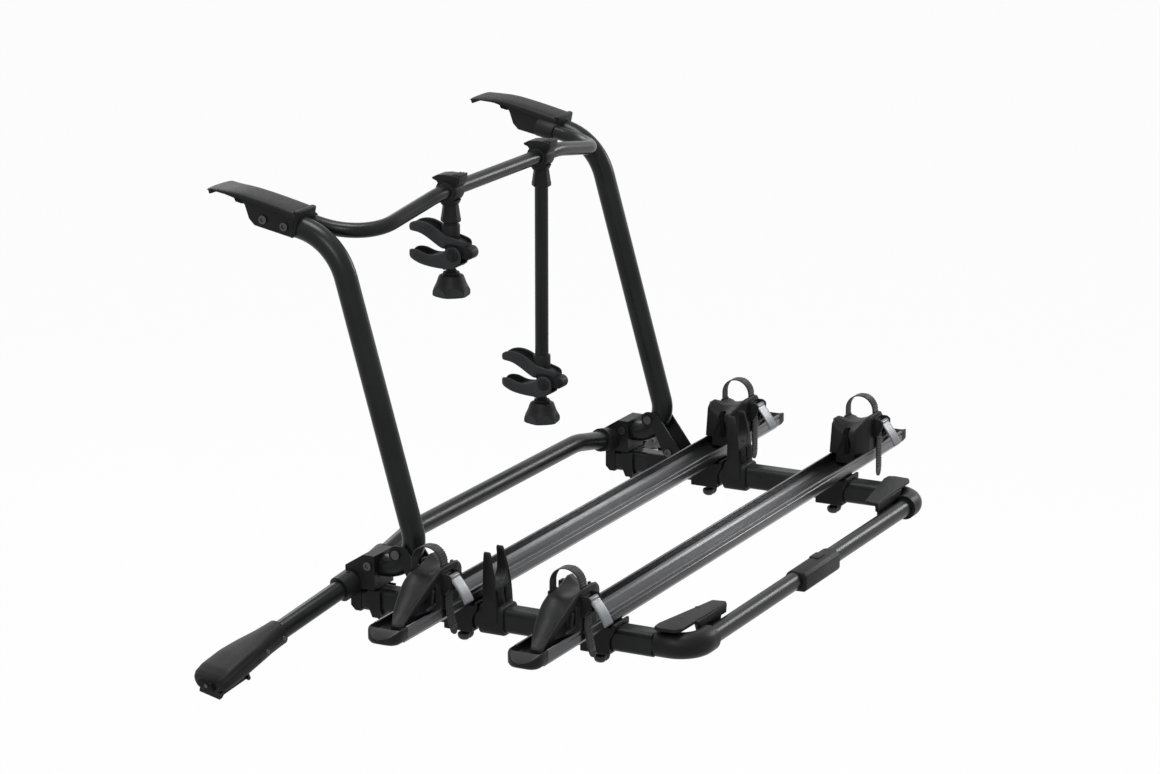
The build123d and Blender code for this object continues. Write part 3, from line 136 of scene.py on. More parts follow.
def feed(tree, node, inputs):
    """Set a node's inputs. An output is linked to, and anything else is a value."""
    for key, value in inputs.items():
        if isinstance(value, bpy.types.NodeSocket):
            tree.links.new(value, node.inputs[key])
        else:
            node.inputs[key].default_value = value
    return node


def new_node(tree, kind, inputs, **settings):
    """New shader node with its settings and inputs."""
    node = tree.nodes.new("ShaderNode" + kind)
    for key, value in settings.items():
        setattr(node, key, value)
    return feed(tree, node, inputs)


def finish(name, color, rough, spread=0.06, grain=0.0008, depth=0.02, metal=0.0, stretch=(1, 1, 1),
           shade=0.25, specular=0.5):
    """Principled finish with slow blotches and a fine grain.

    color is multiplied by 1 - shade ... 1 + shade over the blotches, the roughness moves by
    spread, and the grain is a noise of the given size in metres that drives a bump."""
    material = bpy.data.materials.new(name)
    material.use_nodes = True
    tree = material.node_tree
    own = new_node(tree, "TexCoord", {}).outputs["Object"]
    at = new_node(tree, "Mapping", {"Scale": stretch, "Vector": own}).outputs["Vector"]
    slow = new_node(tree, "TexNoise", {"Scale": BLOTCH_SCALE, "Detail": 4.0, "Vector": at}).outputs["Fac"]
    fine = new_node(tree, "TexNoise", {"Scale": 1.0 / grain, "Detail": 3.0, "Vector": at}).outputs["Fac"]
    ramp = new_node(tree, "ValToRGB", {"Fac": slow})
    for element, position, share in zip(ramp.color_ramp.elements, RAMP_ENDS, (1 - shade, 1 + shade)):
        element.position = position
        element.color = (*[min(1.0, max(0.0, c * share)) for c in color], 1.0)
    both = new_node(tree, "Math", {0: slow, 1: fine}, operation="ADD").outputs["Value"]
    gloss = new_node(tree, "MapRange", {
        "From Min": NOISE_SUM[0], "From Max": NOISE_SUM[1], "To Min": rough - spread, "To Max": rough + spread,
        "Value": both})
    bump = new_node(tree, "Bump", {"Strength": depth, "Distance": BUMP_HEIGHT, "Height": fine})
    feed(tree, tree.nodes["Principled BSDF"], {
        "Metallic": metal, "Specular IOR Level": specular, "Base Color": ramp.outputs["Color"],
        "Roughness": gloss.outputs["Result"], "Normal": bump.outputs["Normal"]})
    return material


# Base colour, roughness and the rest of each finish
LOOKS = {
    "black_powder_coat": ((0.010, 0.0105, 0.011), 0.30, dict(grain=0.0011, depth=0.18, specular=0.16)),
    "satin_black_casting": ((0.009, 0.0092, 0.0096), 0.42, dict(grain=0.0009, depth=0.4, specular=0.14)),
    "dark_anodised_aluminium": ((0.085, 0.086, 0.089), 0.33, dict(
        metal=0.9, stretch=(0.03, 1, 1), grain=0.0006, depth=0.25, shade=0.12)),
    "dark_steel": ((0.07, 0.07, 0.072), 0.38, dict(metal=0.9, grain=0.0007, depth=0.2)),
    "black_plastic": ((0.0100, 0.0102, 0.0106), 0.48, dict(grain=0.0006, depth=0.5, specular=0.14)),
    "strap_plastic": ((0.030, 0.030, 0.031), 0.50, dict(grain=0.0005, depth=0.3, specular=0.18)),
    "grey_plastic": ((0.040, 0.041, 0.042), 0.50, dict(grain=0.0006, depth=0.4, specular=0.2)),
    "silver_plastic": ((0.16, 0.17, 0.18), 0.34, dict(
        metal=0.35, grain=0.0007, depth=0.15, shade=0.10, specular=0.3)),
    "black_rubber": ((0.0050, 0.0052, 0.0056), 0.62, dict(grain=0.0005, depth=0.6, specular=0.08)),
    "grip_rubber": ((0.030, 0.034, 0.037), 0.58, dict(grain=0.0005, depth=0.5, specular=0.16)),
}
FINISH = {name: finish(name, color, rough, **rest) for name, (color, rough, rest) in LOOKS.items()}
print(len(FINISH), "finishes")

# %% Finishes of the CAD pieces that stay
slot_of = {entry["node"]: entry["material_slot"] for entry in frame["record"]["subparts"]}
body_of = {}
for body, members in frame["record"]["behaviour"]["bodies"].items():
    for member in members:
        body_of[member] = body
for name, obj in frame["nodes"].items():
    obj.data.materials.clear()
    obj.data.materials.append(FINISH[slot_of[name]])
print(len(slot_of), "CAD pieces finished")

# %% [markdown]
# ## Ways of making a surface
# Nearly every new piece is a grid of points with a skin over it. The helpers round the corners of
# an outline, give it a thickness with rounded rims, or turn or sweep a section.

# %% Skin of a grid
SAME_POINT = 1e-6           # metres within which two points are one


def skin(rows, columns, wrap=True, caps=True):
    """Faces of a grid whose points are numbered row by row.

    Face (i, j) joins point (i, j) to its neighbours (i, j+1), (i+1, j+1) and (i+1, j). With wrap the
    last column joins the first, and with caps the first and last rows are closed by one face each."""
    i, j = np.meshgrid(np.arange(rows - 1), np.arange(columns if wrap else columns - 1), indexing="ij")
    k = (j + 1) % columns
    quads = np.stack([i * columns + j, i * columns + k, (i + 1) * columns + k, (i + 1) * columns + j], -1)
    faces = quads.reshape(-1, 4).tolist()
    if caps and wrap:
        faces.append(list(range(columns))[::-1])
        faces.append(list(range((rows - 1) * columns, rows * columns)))
    return faces


def grid(x, y, z):
    """Points and faces of a closed form from its X, Y and Z, one row for each of its sections."""
    points = np.stack(np.broadcast_arrays(x, y, z), -1)
    return points.reshape(-1, 3), skin(*points.shape[:2])


def oval(power, columns):
    """Angles and points (u, v) of the curve |u|^power + |v|^power = 1, a row for each power."""
    angle = np.linspace(0, 2 * math.pi, columns, endpoint=False)
    c, s = np.cos(angle), np.sin(angle)
    scale = (np.abs(c) ** power + np.abs(s) ** power) ** (-1 / power)
    return angle, c * scale, s * scale


def piece(name, points, faces, slot, body, hides=(), material=None, sharp=35.0):
    """New object from millimetre points. Its normals are turned outwards, and its edges stay crisp
    only where its faces meet at more than the angle sharp."""
    mesh = bpy.data.meshes.new(name)
    mesh.from_pydata(place(points).tolist(), [], faces)
    builder = bmesh.new()
    builder.from_mesh(mesh)
    bmesh.ops.remove_doubles(builder, verts=builder.verts, dist=SAME_POINT)
    bmesh.ops.recalc_face_normals(builder, faces=builder.faces)
    builder.to_mesh(mesh)
    builder.free()
    mesh.shade_smooth()
    mesh.set_sharp_from_angle(angle=math.radians(sharp))
    mesh.materials.append(FINISH[material or slot])
    obj = bpy.data.objects.new(name, mesh)
    bpy.context.scene.collection.objects.link(obj)
    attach(obj, body)
    if hides:
        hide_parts(*hides)
    return obj


def joined(parts):
    """Several (points, faces) pairs as one pair."""
    points, faces, start = [], [], 0
    for some_points, some_faces in parts:
        flat = np.asarray(some_points, float).reshape(-1, 3)
        points.append(flat)
        faces.extend([[index + start for index in face] for face in some_faces])
        start += len(flat)
    return np.concatenate(points), faces


def mirrored(points, side):
    """The same points on the given side of the middle plane."""
    return np.asarray(points, float).reshape(-1, 3) * np.array([side, 1.0, 1.0])


def side_piece(side, name, parts, slot, body, **more):
    """One piece from several (points, faces) pairs, on the given side of the middle plane."""
    points, faces = joined(parts)
    return piece(name, mirrored(points, side), faces, slot, body, **more)


print("grid helpers ready")


# %% Outlines with rounded corners
def rounded(corners, radius, steps=5):
    """Closed outline whose corners are arcs.

    At each corner the arc starts and ends at radius / tan(half angle) from it, limited to under half
    of the shorter side, and its points are the corner plus a blend of both arms along a quadratic."""
    p = np.asarray(corners, float)
    before = np.roll(p, 1, axis=0) - p
    after = np.roll(p, -1, axis=0) - p
    a = np.linalg.norm(before, axis=1)[:, None]
    b = np.linalg.norm(after, axis=1)[:, None]
    cosine = np.clip(np.sum(before * after, axis=1)[:, None] / (a * b), -0.999, 0.999)
    half = np.arccos(cosine) / 2
    reach = np.minimum(radius / np.tan(half), 0.48 * np.minimum(a, b))
    start = p + before / a * reach
    end = p + after / b * reach
    t = np.linspace(0, 1, steps)[None, :, None]
    curve = (1 - t) ** 2 * start[:, None] + 2 * t * (1 - t) * p[:, None] + t ** 2 * end[:, None]
    return curve.reshape(-1, 2)


def outward(outline):
    """Unit normals of a closed outline, pointing outwards."""
    d = np.roll(outline, -1, axis=0) - np.roll(outline, 1, axis=0)
    d /= np.maximum(np.linalg.norm(d, axis=1), 1e-9)[:, None]
    n = np.stack([d[:, 1], -d[:, 0]], -1)
    x, y = outline[:, 0], outline[:, 1]
    area = np.sum(x * np.roll(y, -1) - np.roll(x, -1) * y)
    return n if area > 0 else -n


def slab(outline, low, high, rim=1.0, steps=4):
    """Outline carried from low to high with rounded rims.

    Each rim is a quarter circle: at the angle a the outline lies rim * (1 - sin a) inside and has
    risen by rim * (1 - cos a). The result is (u, v, w) points, with w along the thickness, and its
    faces."""
    normal = outward(outline)
    a = np.linspace(0, math.pi / 2, steps)
    inset = rim * (1 - np.sin(a))
    rise = rim * (1 - np.cos(a))
    w = np.concatenate([low + rise, high - rise[::-1]])
    d = np.concatenate([inset, inset[::-1]])
    uv = outline[None] - normal[None] * d[:, None, None]
    return grid(uv[..., 0], uv[..., 1], w[:, None])


def slab_x(outline, low, high, rim=1.0, at=(0.0, 0.0), steps=4):
    """Slab of a (y, z) outline, moved to a place, with its thickness along X."""
    points, faces = slab(outline + np.array(at), low, high, rim, steps)
    return points[:, [2, 0, 1]], faces


def slab_y(outline, low, high, rim=1.0, at=(0.0, 0.0)):
    """Slab of an (x, z) outline, moved to a place, with its thickness along Y."""
    points, faces = slab(outline + np.array(at), low, high, rim)
    return points[:, [0, 2, 1]], faces


print("outline helpers ready")


# %% Turned and swept forms
LEAST_RADIUS = 0.01         # at the poles of a turned form, so that its caps are real faces


def turned(profile, centre, lobes=0, depth=0.0, columns=64):
    """Profile of (radius, height, share of the flutes) turned round an upright axis.

    With lobes the radius is reduced by depth * share * (1 - |cos(lobes * angle / 2)|), which leaves
    rounded ridges between shallow flutes."""
    profile = np.asarray(profile, float)
    angle = np.linspace(0, 2 * math.pi, columns, endpoint=False)
    flute = np.abs(np.cos(lobes * angle / 2))
    radius = np.maximum(profile[:, :1] - depth * (1 - flute)[None] * profile[:, 2:3], LEAST_RADIUS)
    u = radius * np.cos(angle)
    v = radius * np.sin(angle)
    points, faces = grid(u, v, profile[:, 1:2])
    return points + np.asarray(centre, float), faces


def swept(path, side, up_vector, half_width, half_height, power=4.0, columns=24):
    """Rounded box section carried along a path.

    The section is the curve |u/w|^power + |v/h|^power = 1, where w and h follow the path."""
    _, across, upward = oval(power, columns)
    u = across[None] * np.asarray(half_width, float)[:, None]
    v = upward[None] * np.asarray(half_height, float)[:, None]
    path = np.asarray(path, float)
    side = np.broadcast_to(np.asarray(side, float), path.shape)
    up_vector = np.broadcast_to(np.asarray(up_vector, float), path.shape)
    points = path[:, None] + u[..., None] * side[:, None] + v[..., None] * up_vector[:, None]
    return points.reshape(-1, 3), skin(len(path), columns)


def bar(start, end, radius, columns=20):
    """Round bar between two points with slightly rounded ends."""
    start, end = np.asarray(start, float), np.asarray(end, float)
    length = np.linalg.norm(end - start)
    d = (end - start) / length
    helper = np.array([0.0, 0.0, 1.0]) if abs(d[2]) < 0.9 else np.array([1.0, 0.0, 0.0])
    side = np.cross(d, helper)
    side /= np.linalg.norm(side)
    lift = np.cross(side, d)
    rim = min(radius, length) * 0.2
    s = np.array([0.0, rim * 0.4, rim, length - rim, length - rim * 0.4, length])
    r = np.array([radius - rim, radius - rim * 0.2, radius, radius, radius - rim * 0.2, radius - rim])
    return swept(start + d * s[:, None], side, lift, r, r, power=2.0, columns=columns)


print("turned and swept helpers ready")

# %% [markdown]
# ## Castings, brackets and housings
# Cast and moulded pieces have no knife edges. These keep the shape of the CAD solid: a copy of its
# mesh is merged, its flat faces are joined again, and a bevel rounds every hard edge.


# %% Rounded copies of the machined solids
MERGE_WITHIN = 2e-6
FLAT_WITHIN = math.radians(1.0)
HARD_EDGE = math.radians(35.0)
BEVEL_FROM = math.radians(32.0)


def softened(node, width, material=None):
    """Copy of a CAD piece with its hard edges rounded; it stands for the piece."""
    mesh = frame["nodes"][node].data.copy()
    mesh.name = node + "_soft"
    builder = bmesh.new()
    builder.from_mesh(mesh)
    bmesh.ops.remove_doubles(builder, verts=builder.verts, dist=MERGE_WITHIN)
    bmesh.ops.dissolve_limit(builder, angle_limit=FLAT_WITHIN, verts=builder.verts, edges=builder.edges)
    builder.to_mesh(mesh)
    builder.free()
    mesh.shade_smooth()
    mesh.set_sharp_from_angle(angle=HARD_EDGE)
    obj = bpy.data.objects.new(node + "_soft", mesh)
    bpy.context.scene.collection.objects.link(obj)
    obj.data.materials.clear()
    obj.data.materials.append(FINISH[material or slot_of[node]])
    bevel = obj.modifiers.new("bevel", "BEVEL")
    bevel.limit_method = "ANGLE"
    bevel.angle_limit = BEVEL_FROM
    bevel.width = width
    bevel.segments = 3
    bevel.harden_normals = True
    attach(obj, body_of[node])
    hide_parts(node)


SOFT_EDGES = {
    "hinge_castings": 0.0034,
    "fold_brackets": 0.0008,
    "inner_saddles": 0.0040,
    "outer_saddles": 0.0040,
    "left_latch": 0.0009,
    "right_latch": 0.0009,
    "left_foot_claw": 0.0008,
    "right_foot_claw": 0.0008,
}
for node, width in SOFT_EDGES.items():
    softened(node, width, material="black_powder_coat" if "claw" in node else None)
print(len(SOFT_EDGES), "rounded copies")

# %% [markdown]
# ## Hooks
# A hook is a steel blade under a moulded cover. The cover is one long crowned shell: its sections
# follow the hook from the collar round the upright's end to the flared tip.

# %% Hook forms
HOOK_TILT = math.radians(11.0)
HOOK_COS = math.cos(HOOK_TILT)
HOOK_SIN = math.sin(HOOK_TILT)
HOOK_X = 380.0
HOOK_Y = 136.0              # the top of the hook at s = 0
HOOK_Z = 544.0
COVER_BULGE = 1.6
COVER_FALL = 7.7
SOCKET_X = 356.0
SOCKET_R = 14.0


def on_hook(s, drop, x):
    """Points at s along the hook, at a depth below its top, as (x, y, z)."""
    s, drop, x = np.broadcast_arrays(np.asarray(s, float), drop, x)
    y = HOOK_Y + s * HOOK_COS + drop * HOOK_SIN
    return np.stack([x, y, HOOK_Z + s * HOOK_SIN - drop * HOOK_COS], -1)


def hook_slab(corners, inner, outer, radius, rim):
    """Slab of an (s, depth) outline, between two distances from the hook's middle plane."""
    points, faces = slab(rounded(corners, radius), HOOK_X - inner, HOOK_X + outer, rim)
    return on_hook(points[:, 0], points[:, 1], points[:, 2]).reshape(-1, 3), faces


def hook_cover():
    """Crowned shell of the cover.

    Across it u runs from -1 to 1, and the depth of its skin is top + 1.5 u^2 + wall (1 - v), with
    (u, v) on the curve |u|^5 + |v|^5 = 1. The top has a bulge of 1.6 along its first 120 mm, and
    falls by 7.7 ((s - 86) / 61)^1.8 towards the tip."""
    s = np.concatenate([[3.0, 3.6, 5.5], np.linspace(12, 140, 36), [143.5, 145.6, 146.7, 147.0]])
    bulge = COVER_BULGE * np.sin(np.pi * np.clip((s - 3.0) / 120.0, 0, 1))
    ends = np.interp(s, [3, 4, 144, 147], [2, 0, 0, 1.2])
    top = 1.8 - bulge + COVER_FALL * np.clip((s - 86.0) / 61.0, 0, 1) ** 1.8 + ends
    wall = np.interp(s, [3, 60, 100, 135, 147], [11.0, 9.6, 6.8, 3.2, 1.6])
    inner = np.interp(s, [3, 96, 116, 130, 140, 147], [26.4, 26.4, 28.6, 32.5, 36.5, 38.0])
    outer = np.interp(s, [3, 110, 147], [26.4, 26.0, 22.5])
    a = np.linspace(math.pi, 0, 29)
    u = np.sign(np.cos(a)) * np.abs(np.cos(a)) ** 0.4
    v = np.abs(np.sin(a)) ** 0.4
    low_u = np.linspace(0.97, -0.97, 9)
    depth = top[:, None] + 1.5 * u[None] ** 2 + wall[:, None] * (1 - v)[None]
    floor = np.broadcast_to((top + 1.5 + wall)[:, None], (len(s), len(low_u)))
    uu = np.broadcast_to(np.concatenate([u, low_u])[None], (len(s), len(u) + len(low_u)))
    drop = np.concatenate([depth, floor], 1)
    x = HOOK_X + np.where(uu < 0, uu * inner[:, None], uu * outer[:, None])
    return on_hook(s[:, None], drop, x).reshape(-1, 3), skin(len(s), uu.shape[1])


print("hook forms ready")

# %% Hooks
# Each slab is an (s, depth) outline, its reach inwards and outwards, its corner radius and its rim
HOUSING = ([(1.0, 5.0), (98.0, 8.2), (85.0, 17.0), (75.0, 34.0), (65.0, 40.6), (6.5, 40.6), (1.0, 36.0)],
           23.4, 23.4, 4.0, 1.6)
COLLAR = ([(0.0, 3.0), (1.5, 1.6), (7.0, 1.8), (8.0, 4.0), (8.0, 38.0), (6.5, 40.6), (3.5, 40.7), (0.0, 35.5)],
          25.4, 25.4, 2.0, 3.0)
SEAM = ([(20.0, 9.6), (66.0, 9.6), (64.0, 11.2), (22.0, 11.2)], 24.5, 24.5, 0.6, 0.4)
LIP = ([(146.4, 12.4), (143.2, 18.4), (139.4, 16.8), (141.0, 11.4)], 37.0, 21.6, 1.2, 0.5)
BLADE = ([(7.0, 6.4), (108.0, 6.6), (126.0, 9.4), (144.0, 13.4), (143.0, 14.6), (124.0, 11.4), (7.0, 9.4)],
         20.0, 20.0, 1.0, 0.4)
PAD = ([(88.0, 8.0), (120.0, 9.2), (120.0, 11.4), (103.0, 12.4), (100.0, 16.6), (88.0, 16.6)],
       23.0, 23.0, 1.6, 0.8)
for side_name, side in SIDES.items():
    cover = [hook_cover(), *[hook_slab(*form) for form in (HOUSING, COLLAR, SEAM)],
             bar(*on_hook([0.5, 32.0], 26.0, SOCKET_X), SOCKET_R, columns=36)]
    side_piece(side, side_name + "_hook_cover", cover, "black_plastic", "frame",
               hides=["hook_housings"], sharp=40.0)
    side_piece(side, side_name + "_hook_blade", [hook_slab(*LIP), hook_slab(*BLADE)], "dark_steel", "frame",
               hides=["hook_plates"], material="black_powder_coat")
    side_piece(side, side_name + "_hook_pad", [hook_slab(*PAD)], "black_rubber", "frame", hides=["hook_pads"])
print("hooks made")

# %% [markdown]
# ## Wheel trays
# A tray is one aluminium extrusion: a flat foot, two walls with a groove along the outside, and a
# rounded lip on each. Its trough has a shallow curved floor, and the profile is carried along X.

# %% Wheel trays
TRAY_END = 590.0
TRAY_FLOOR_Z = 27.0
trough = [(y, 3.8 + 5.6 * (y / 20.6) ** 4) for y in np.linspace(20.6, -20.6, 17)]
tray_corners = [
    (-19.0, 0.0), (19.0, 0.0), (25.0, 7.0), (25.0, 16.6), (23.9, 17.4), (23.9, 18.6), (25.0, 19.4),
    (25.0, 23.0), (22.0, 23.0), (21.6, 21.6), (22.6, 20.6), (22.6, 12.5), *trough,
    (-22.6, 12.5), (-22.6, 20.6), (-21.6, 21.6), (-22.0, 23.0), (-25.0, 23.0),
    (-25.0, 19.4), (-23.9, 18.6), (-23.9, 17.4), (-25.0, 16.6), (-25.0, 7.0),
]
tray_loop = rounded(tray_corners, 0.9, steps=4)
for row, y in TRAY_Y.items():
    channel = slab_x(tray_loop, -TRAY_END, TRAY_END, 0.4, (y, TRAY_FLOOR_Z), steps=3)
    piece(row + "_tray_channel", *channel, "dark_anodised_aluminium", row + "_tray",
          hides=[row + "_tray"], sharp=40.0)
print("trays made from", len(tray_loop), "profile points")

# %% [markdown]
# ## Tray caps
# The cap is a rounded nose that closes the extrusion. Its sections shrink towards the tip like a
# quarter circle, and its top dips into a small basin beside the tray's end.

# %% Tray caps
CAP_START = TRAY_END
CAP_TIP = 626.0
CAP_ROUND = 25.0            # length of the rounded tip, and half the tray's width
RIM_UP = 23.0               # the rim above the tray's foot
RIM_FALL = 11.0
FLOOR_RISE = 7.0
BASIN_DEEP = 15.0
BASIN_LONG = 15.0
FLOOR_LEFT = 3.0            # least thickness left under the basin


def cap_nose(y):
    """Nose of a tray: section half width 25 * sqrt(1 - q^2) with q the share of the last 25 mm.

    The floor rises and the rim falls towards the tip, and the basin's depth fades out along X."""
    x = CAP_START + (CAP_TIP - CAP_START) * np.sin(np.linspace(0, math.pi / 2, 26))
    q = np.clip((x - (CAP_TIP - CAP_ROUND)) / CAP_ROUND, 0, 0.9995)
    width = CAP_ROUND * np.sqrt(1 - q ** 2)
    floor = TRAY_FLOOR_Z + FLOOR_RISE * q ** 2.4
    rim = TRAY_FLOOR_Z + RIM_UP - RIM_FALL * q ** 1.7
    basin = 1.8 + BASIN_DEEP * np.clip(1 - ((x - CAP_START) / BASIN_LONG) ** 2.0, 0, 1)
    t = np.linspace(-1, 1, 17)
    top = np.concatenate([[1.0, 0.985, 0.95, 0.92, 0.90, 0.88], np.linspace(0.85, -0.85, 15),
                          [-0.88, -0.90, -0.92, -0.95, -0.985, -1.0]])
    dish = np.clip(1 - np.abs(top / 0.915) ** 14, 0, 1) * (0.86 + 0.14 * (1 - top ** 2))
    height = (rim - floor)[:, None]
    bottom_y = width[:, None] * t[None]
    bottom_z = floor[:, None] + height * (np.abs(t) ** 6 * 0.34)[None]
    top_y = width[:, None] * top[None]
    sunk = np.minimum(basin[:, None], height - FLOOR_LEFT) * dish[None]
    top_z = rim[:, None] - sunk - 1.2 * np.abs(top[None]) ** 30
    yy = np.concatenate([bottom_y, top_y], 1) + y
    zz = np.concatenate([bottom_z, top_z], 1)
    return grid(x[:, None], yy, zz)


for row, y in TRAY_Y.items():
    nose, faces = cap_nose(y)
    both = joined([(mirrored(nose, side), faces) for side in SIDES.values()])
    piece(row + "_tray_noses", *both, "black_plastic", row + "_tray", hides=[row + "_tray_caps"], sharp=50.0)
print("tray noses made")

# %% [markdown]
# ## Wheel holders
# A holder is a moulded wedge for a wheel. Seen from its end it is a leaf: a straight ridge on the
# buckle's side, a lower bulging ridge on the other, and a hollow between them for the tyre. It is
# made of cross-sections along the tray, each one a closed loop of the same number of points.

# %% Wheel holder shell
HOLDER_HALF = 27.0
STRAP_X = 487.0
RIDGE_AT = 0.86             # share of the half width where a ridge's rounding starts
RIDGE_ROUND = 3.6
SHOULDER = 4.2              # a flank starts this far below its ridge


def holder_body(y):
    """Sections of the holder along X.

    Between the ridges, u runs from -1 to 1 and z falls below the line from ridge to ridge by
    depth * (1 - |u|^k), with k from 1.3, a notch, to 2.2, a scoop. The far flank leans in a little."""
    x = np.concatenate([[426.5, 427.2, 428.5, 431.0, 434.0, 438.0], np.linspace(442, 572, 66), [573.2, 573.9]])
    near_z = np.interp(x, [426, 430, 440, 452, 466, 494, 503, 520, 540, 560, 572, 574],
                       [84, 90, 96.0, 103.0, 106.5, 106.8, 103.8, 90.5, 74.0, 57.0, 44.5, 41.0])
    far_z = np.interp(x, [426, 428, 434, 446, 458, 472, 500, 514, 530, 548, 562, 572, 574],
                      [90, 98, 103.5, 104.5, 100.0, 94.5, 92.5, 87.0, 76.0, 62.0, 51.0, 43.5, 41.0])
    depth = np.interp(x, [426, 436, 450, 480, 505, 530, 555, 570, 574],
                      [9.0, 10.0, 8.0, 6.5, 8.5, 10.0, 7.0, 2.0, 0.4])
    kind = np.interp(x, [426, 445, 480], [1.3, 1.6, 2.2])
    near = np.interp(x, [426, 428, 440, 457, 500, 506, 574], [14.5, 16.5, 22.0, 27.0, 27.0, 26.0, 9.0])
    base = np.interp(x, [426, 548, 574], [50.6, 50.6, 35.0])[:, None]
    far = np.interp(x, [426, 428, 503, 520, 538, 556, 574], [25.4, 26.8, 27.0, 25.6, 22.0, 17.0, 10.0])
    groove = np.clip((438.0 - x) / 4.0, 0, 1)
    u = np.concatenate([[-1.0, -0.985, -0.955, -0.91, -0.86], np.linspace(-0.78, 0.78, 19),
                        [0.86, 0.91, 0.955, 0.985, 1.0]])
    past = np.clip(np.abs(u) - RIDGE_AT, 0, 1) / 0.1402
    edge = RIDGE_ROUND * (1 - np.sqrt(np.clip(1 - past ** 2, 0, 1)))
    mid = (near_z[:, None] * (1 - u) + far_z[:, None] * (1 + u)) / 2
    scoop = depth[:, None] * (1 - np.clip(np.abs(u) / RIDGE_AT, 0, 1)[None] ** kind[:, None])
    top_z = mid - scoop - edge[None]
    top_y = np.where(u < 0, u * near[:, None], u * far[:, None])
    level = np.array([0.93, 0.80, 0.66, 0.52, 0.36, 0.16, 0.05, 0.0])
    wall_z = base + (far_z[:, None] - SHOULDER - base) * level[None]
    wall_y = far[:, None] + 0.0 * wall_z
    inset = 4.5 * np.clip((x - 504.0) / 3.0, 0, 1) * np.clip((552.0 - x) / 14.0, 0, 1)
    inset = inset[:, None] * np.array([0.0, 0.0, 1.0, 1.0, 1.0, 0.6, 0.0, 0.0])[None]
    back_z = (base + (near_z[:, None] - SHOULDER - base) * level[None])[:, ::-1]
    back_y = (-near[:, None] + inset)[:, ::-1]
    foot = np.minimum(20.4, np.minimum(near, far) - 0.3)[:, None]
    foot_y = foot * np.array([[1.0, 1.0, 0.93, 0.5, 0.0, -0.5, -0.93, -1.0, -1.0]])
    foot_z = np.minimum(np.array([[50.3, 38.6, 36.8, 36.8, 36.8, 36.8, 36.8, 38.6, 50.3]]), base - 0.4)
    yy = np.concatenate([top_y, wall_y, foot_y, back_y], 1)
    zz = np.concatenate([top_z, wall_z, foot_z, back_z], 1)
    share = np.abs(yy) / HOLDER_HALF
    yy = np.where(yy > 0, yy * (1 - 0.14 * np.clip((zz - 51.0) / 55.0, 0, 1)), yy)
    slot = np.clip(1.5 - share / 0.10, 0, 1) * groove[:, None] * np.clip((97.0 - zz) / 5.0, 0, 1)
    return grid(x[:, None] + 10.0 * slot * (zz > 51), yy + y, zz)


def rib(x0, z0, x1, z1, y, thick, proud):
    """Rounded rib on the near face between two places."""
    start = np.array([x0, y, z0])
    run = np.array([x1, y, z1]) - start
    side = np.array([0.0, 1.0, 0.0])
    lift = np.cross(run / np.linalg.norm(run), side)
    s = np.linspace(0, 1, 12)
    ends = np.sqrt(np.clip(1 - (2 * s - 1) ** 12, 0.02, 1))
    return swept(start + run * s[:, None], side, lift, proud * ends, thick * ends, power=2.5)


def pad_block(low, high, radius=1.0):
    """Small block with rounded corners and rims between two opposite corners."""
    (x0, y0, z0), (x1, y1, z1) = low, high
    return slab_x(rounded([(y0, z0), (y1, z0), (y1, z1), (y0, z1)], radius), x0, x1, radius * 0.6)


print("holder forms ready")

# %% Wheel holders
BUCKLE_OUT = 36.6           # the buckle's pin, from the tray's middle and above its datum
BUCKLE_Z = 91.0
RIBS = [(511.0, 88.0, 514.0, 60.0), (519.0, 80.5, 525.0, 58.0), (514.0, 60.5, 538.0, 56.0)]
RIB_IN = 3.6
CHEEKS_X = (472.9, 501.1)
CHEEK_HALF = 1.4
CHEEK_SIDE = [(3.0, 68.0), (-5.0, 69.0), (-11.0, 78.0), (-14.6, 88.0), (-14.4, 94.5), (-9.0, 98.0), (3.0, 98.0)]
for name, y, side in TRAY_ENDS:
    near = y - HOLDER_HALF
    cheek = rounded([(near + u, z) for u, z in CHEEK_SIDE], 3.0)
    shell = [
        holder_body(y),
        *[rib(*line, near + RIB_IN, 1.3, 3.0) for line in RIBS],
        pad_block((446.0, y + 25.0, 86.0), (458.0, y + 29.4, 99.0)),
        *[slab_x(cheek, x - CHEEK_HALF, x + CHEEK_HALF, 0.6) for x in CHEEKS_X],
        bar((472.0, y - BUCKLE_OUT, BUCKLE_Z), (502.0, y - BUCKLE_OUT, BUCKLE_Z), 2.0),
        pad_block((474.0, near - 1.0, 93.5), (500.0, near + 6.0, 99.5)),
    ]
    # Thin dark blocks on the near wall below the buckle, at the strap's root and in the front slot: painted
    # shade.
    slot_side = [(y - 6.5, 52.0), (y + 2.5, 52.0), (y + 0.6, 93.0), (y - 2.6, 93.0)]
    hollow = [
        pad_block((477.0, near - 0.4, 53.0), (498.0, near + 2.0, 67.0), 2.0),
        pad_block((476.0, y + 20.6, 84.0), (498.0, y + 24.4, 96.4), 1.2),
        slab_x(rounded(slot_side, 1.0), 425.7, 430.0, 0.3),
    ]
    side_piece(side, name + "_holder_shell", shell, "black_plastic", name + "_holder",
               hides=[name + "_wheel_holder"], sharp=42.0)
    side_piece(side, name + "_holder_painted_shade", hollow, "black_plastic", name + "_holder",
               material="black_rubber")
print("wheel holders made")

# %% [markdown]
# ## Straps
# The strap is a toothed band. Its path goes up the far side, over in a half circle, and down through
# the buckle to a free tail. The teeth are a saw wave along the path on the outer face.

# %% Straps
STRAP_TURN = 22.5
STRAP_OUT = 29.6
STRAP_TOP_Z = 107.5
STRAP_HALF = 9.0
TOOTH_PITCH = 3.6
TOOTH_DEPTH = 1.5
TEETH_FROM = 60.0
LEAN_FROM = 150.0


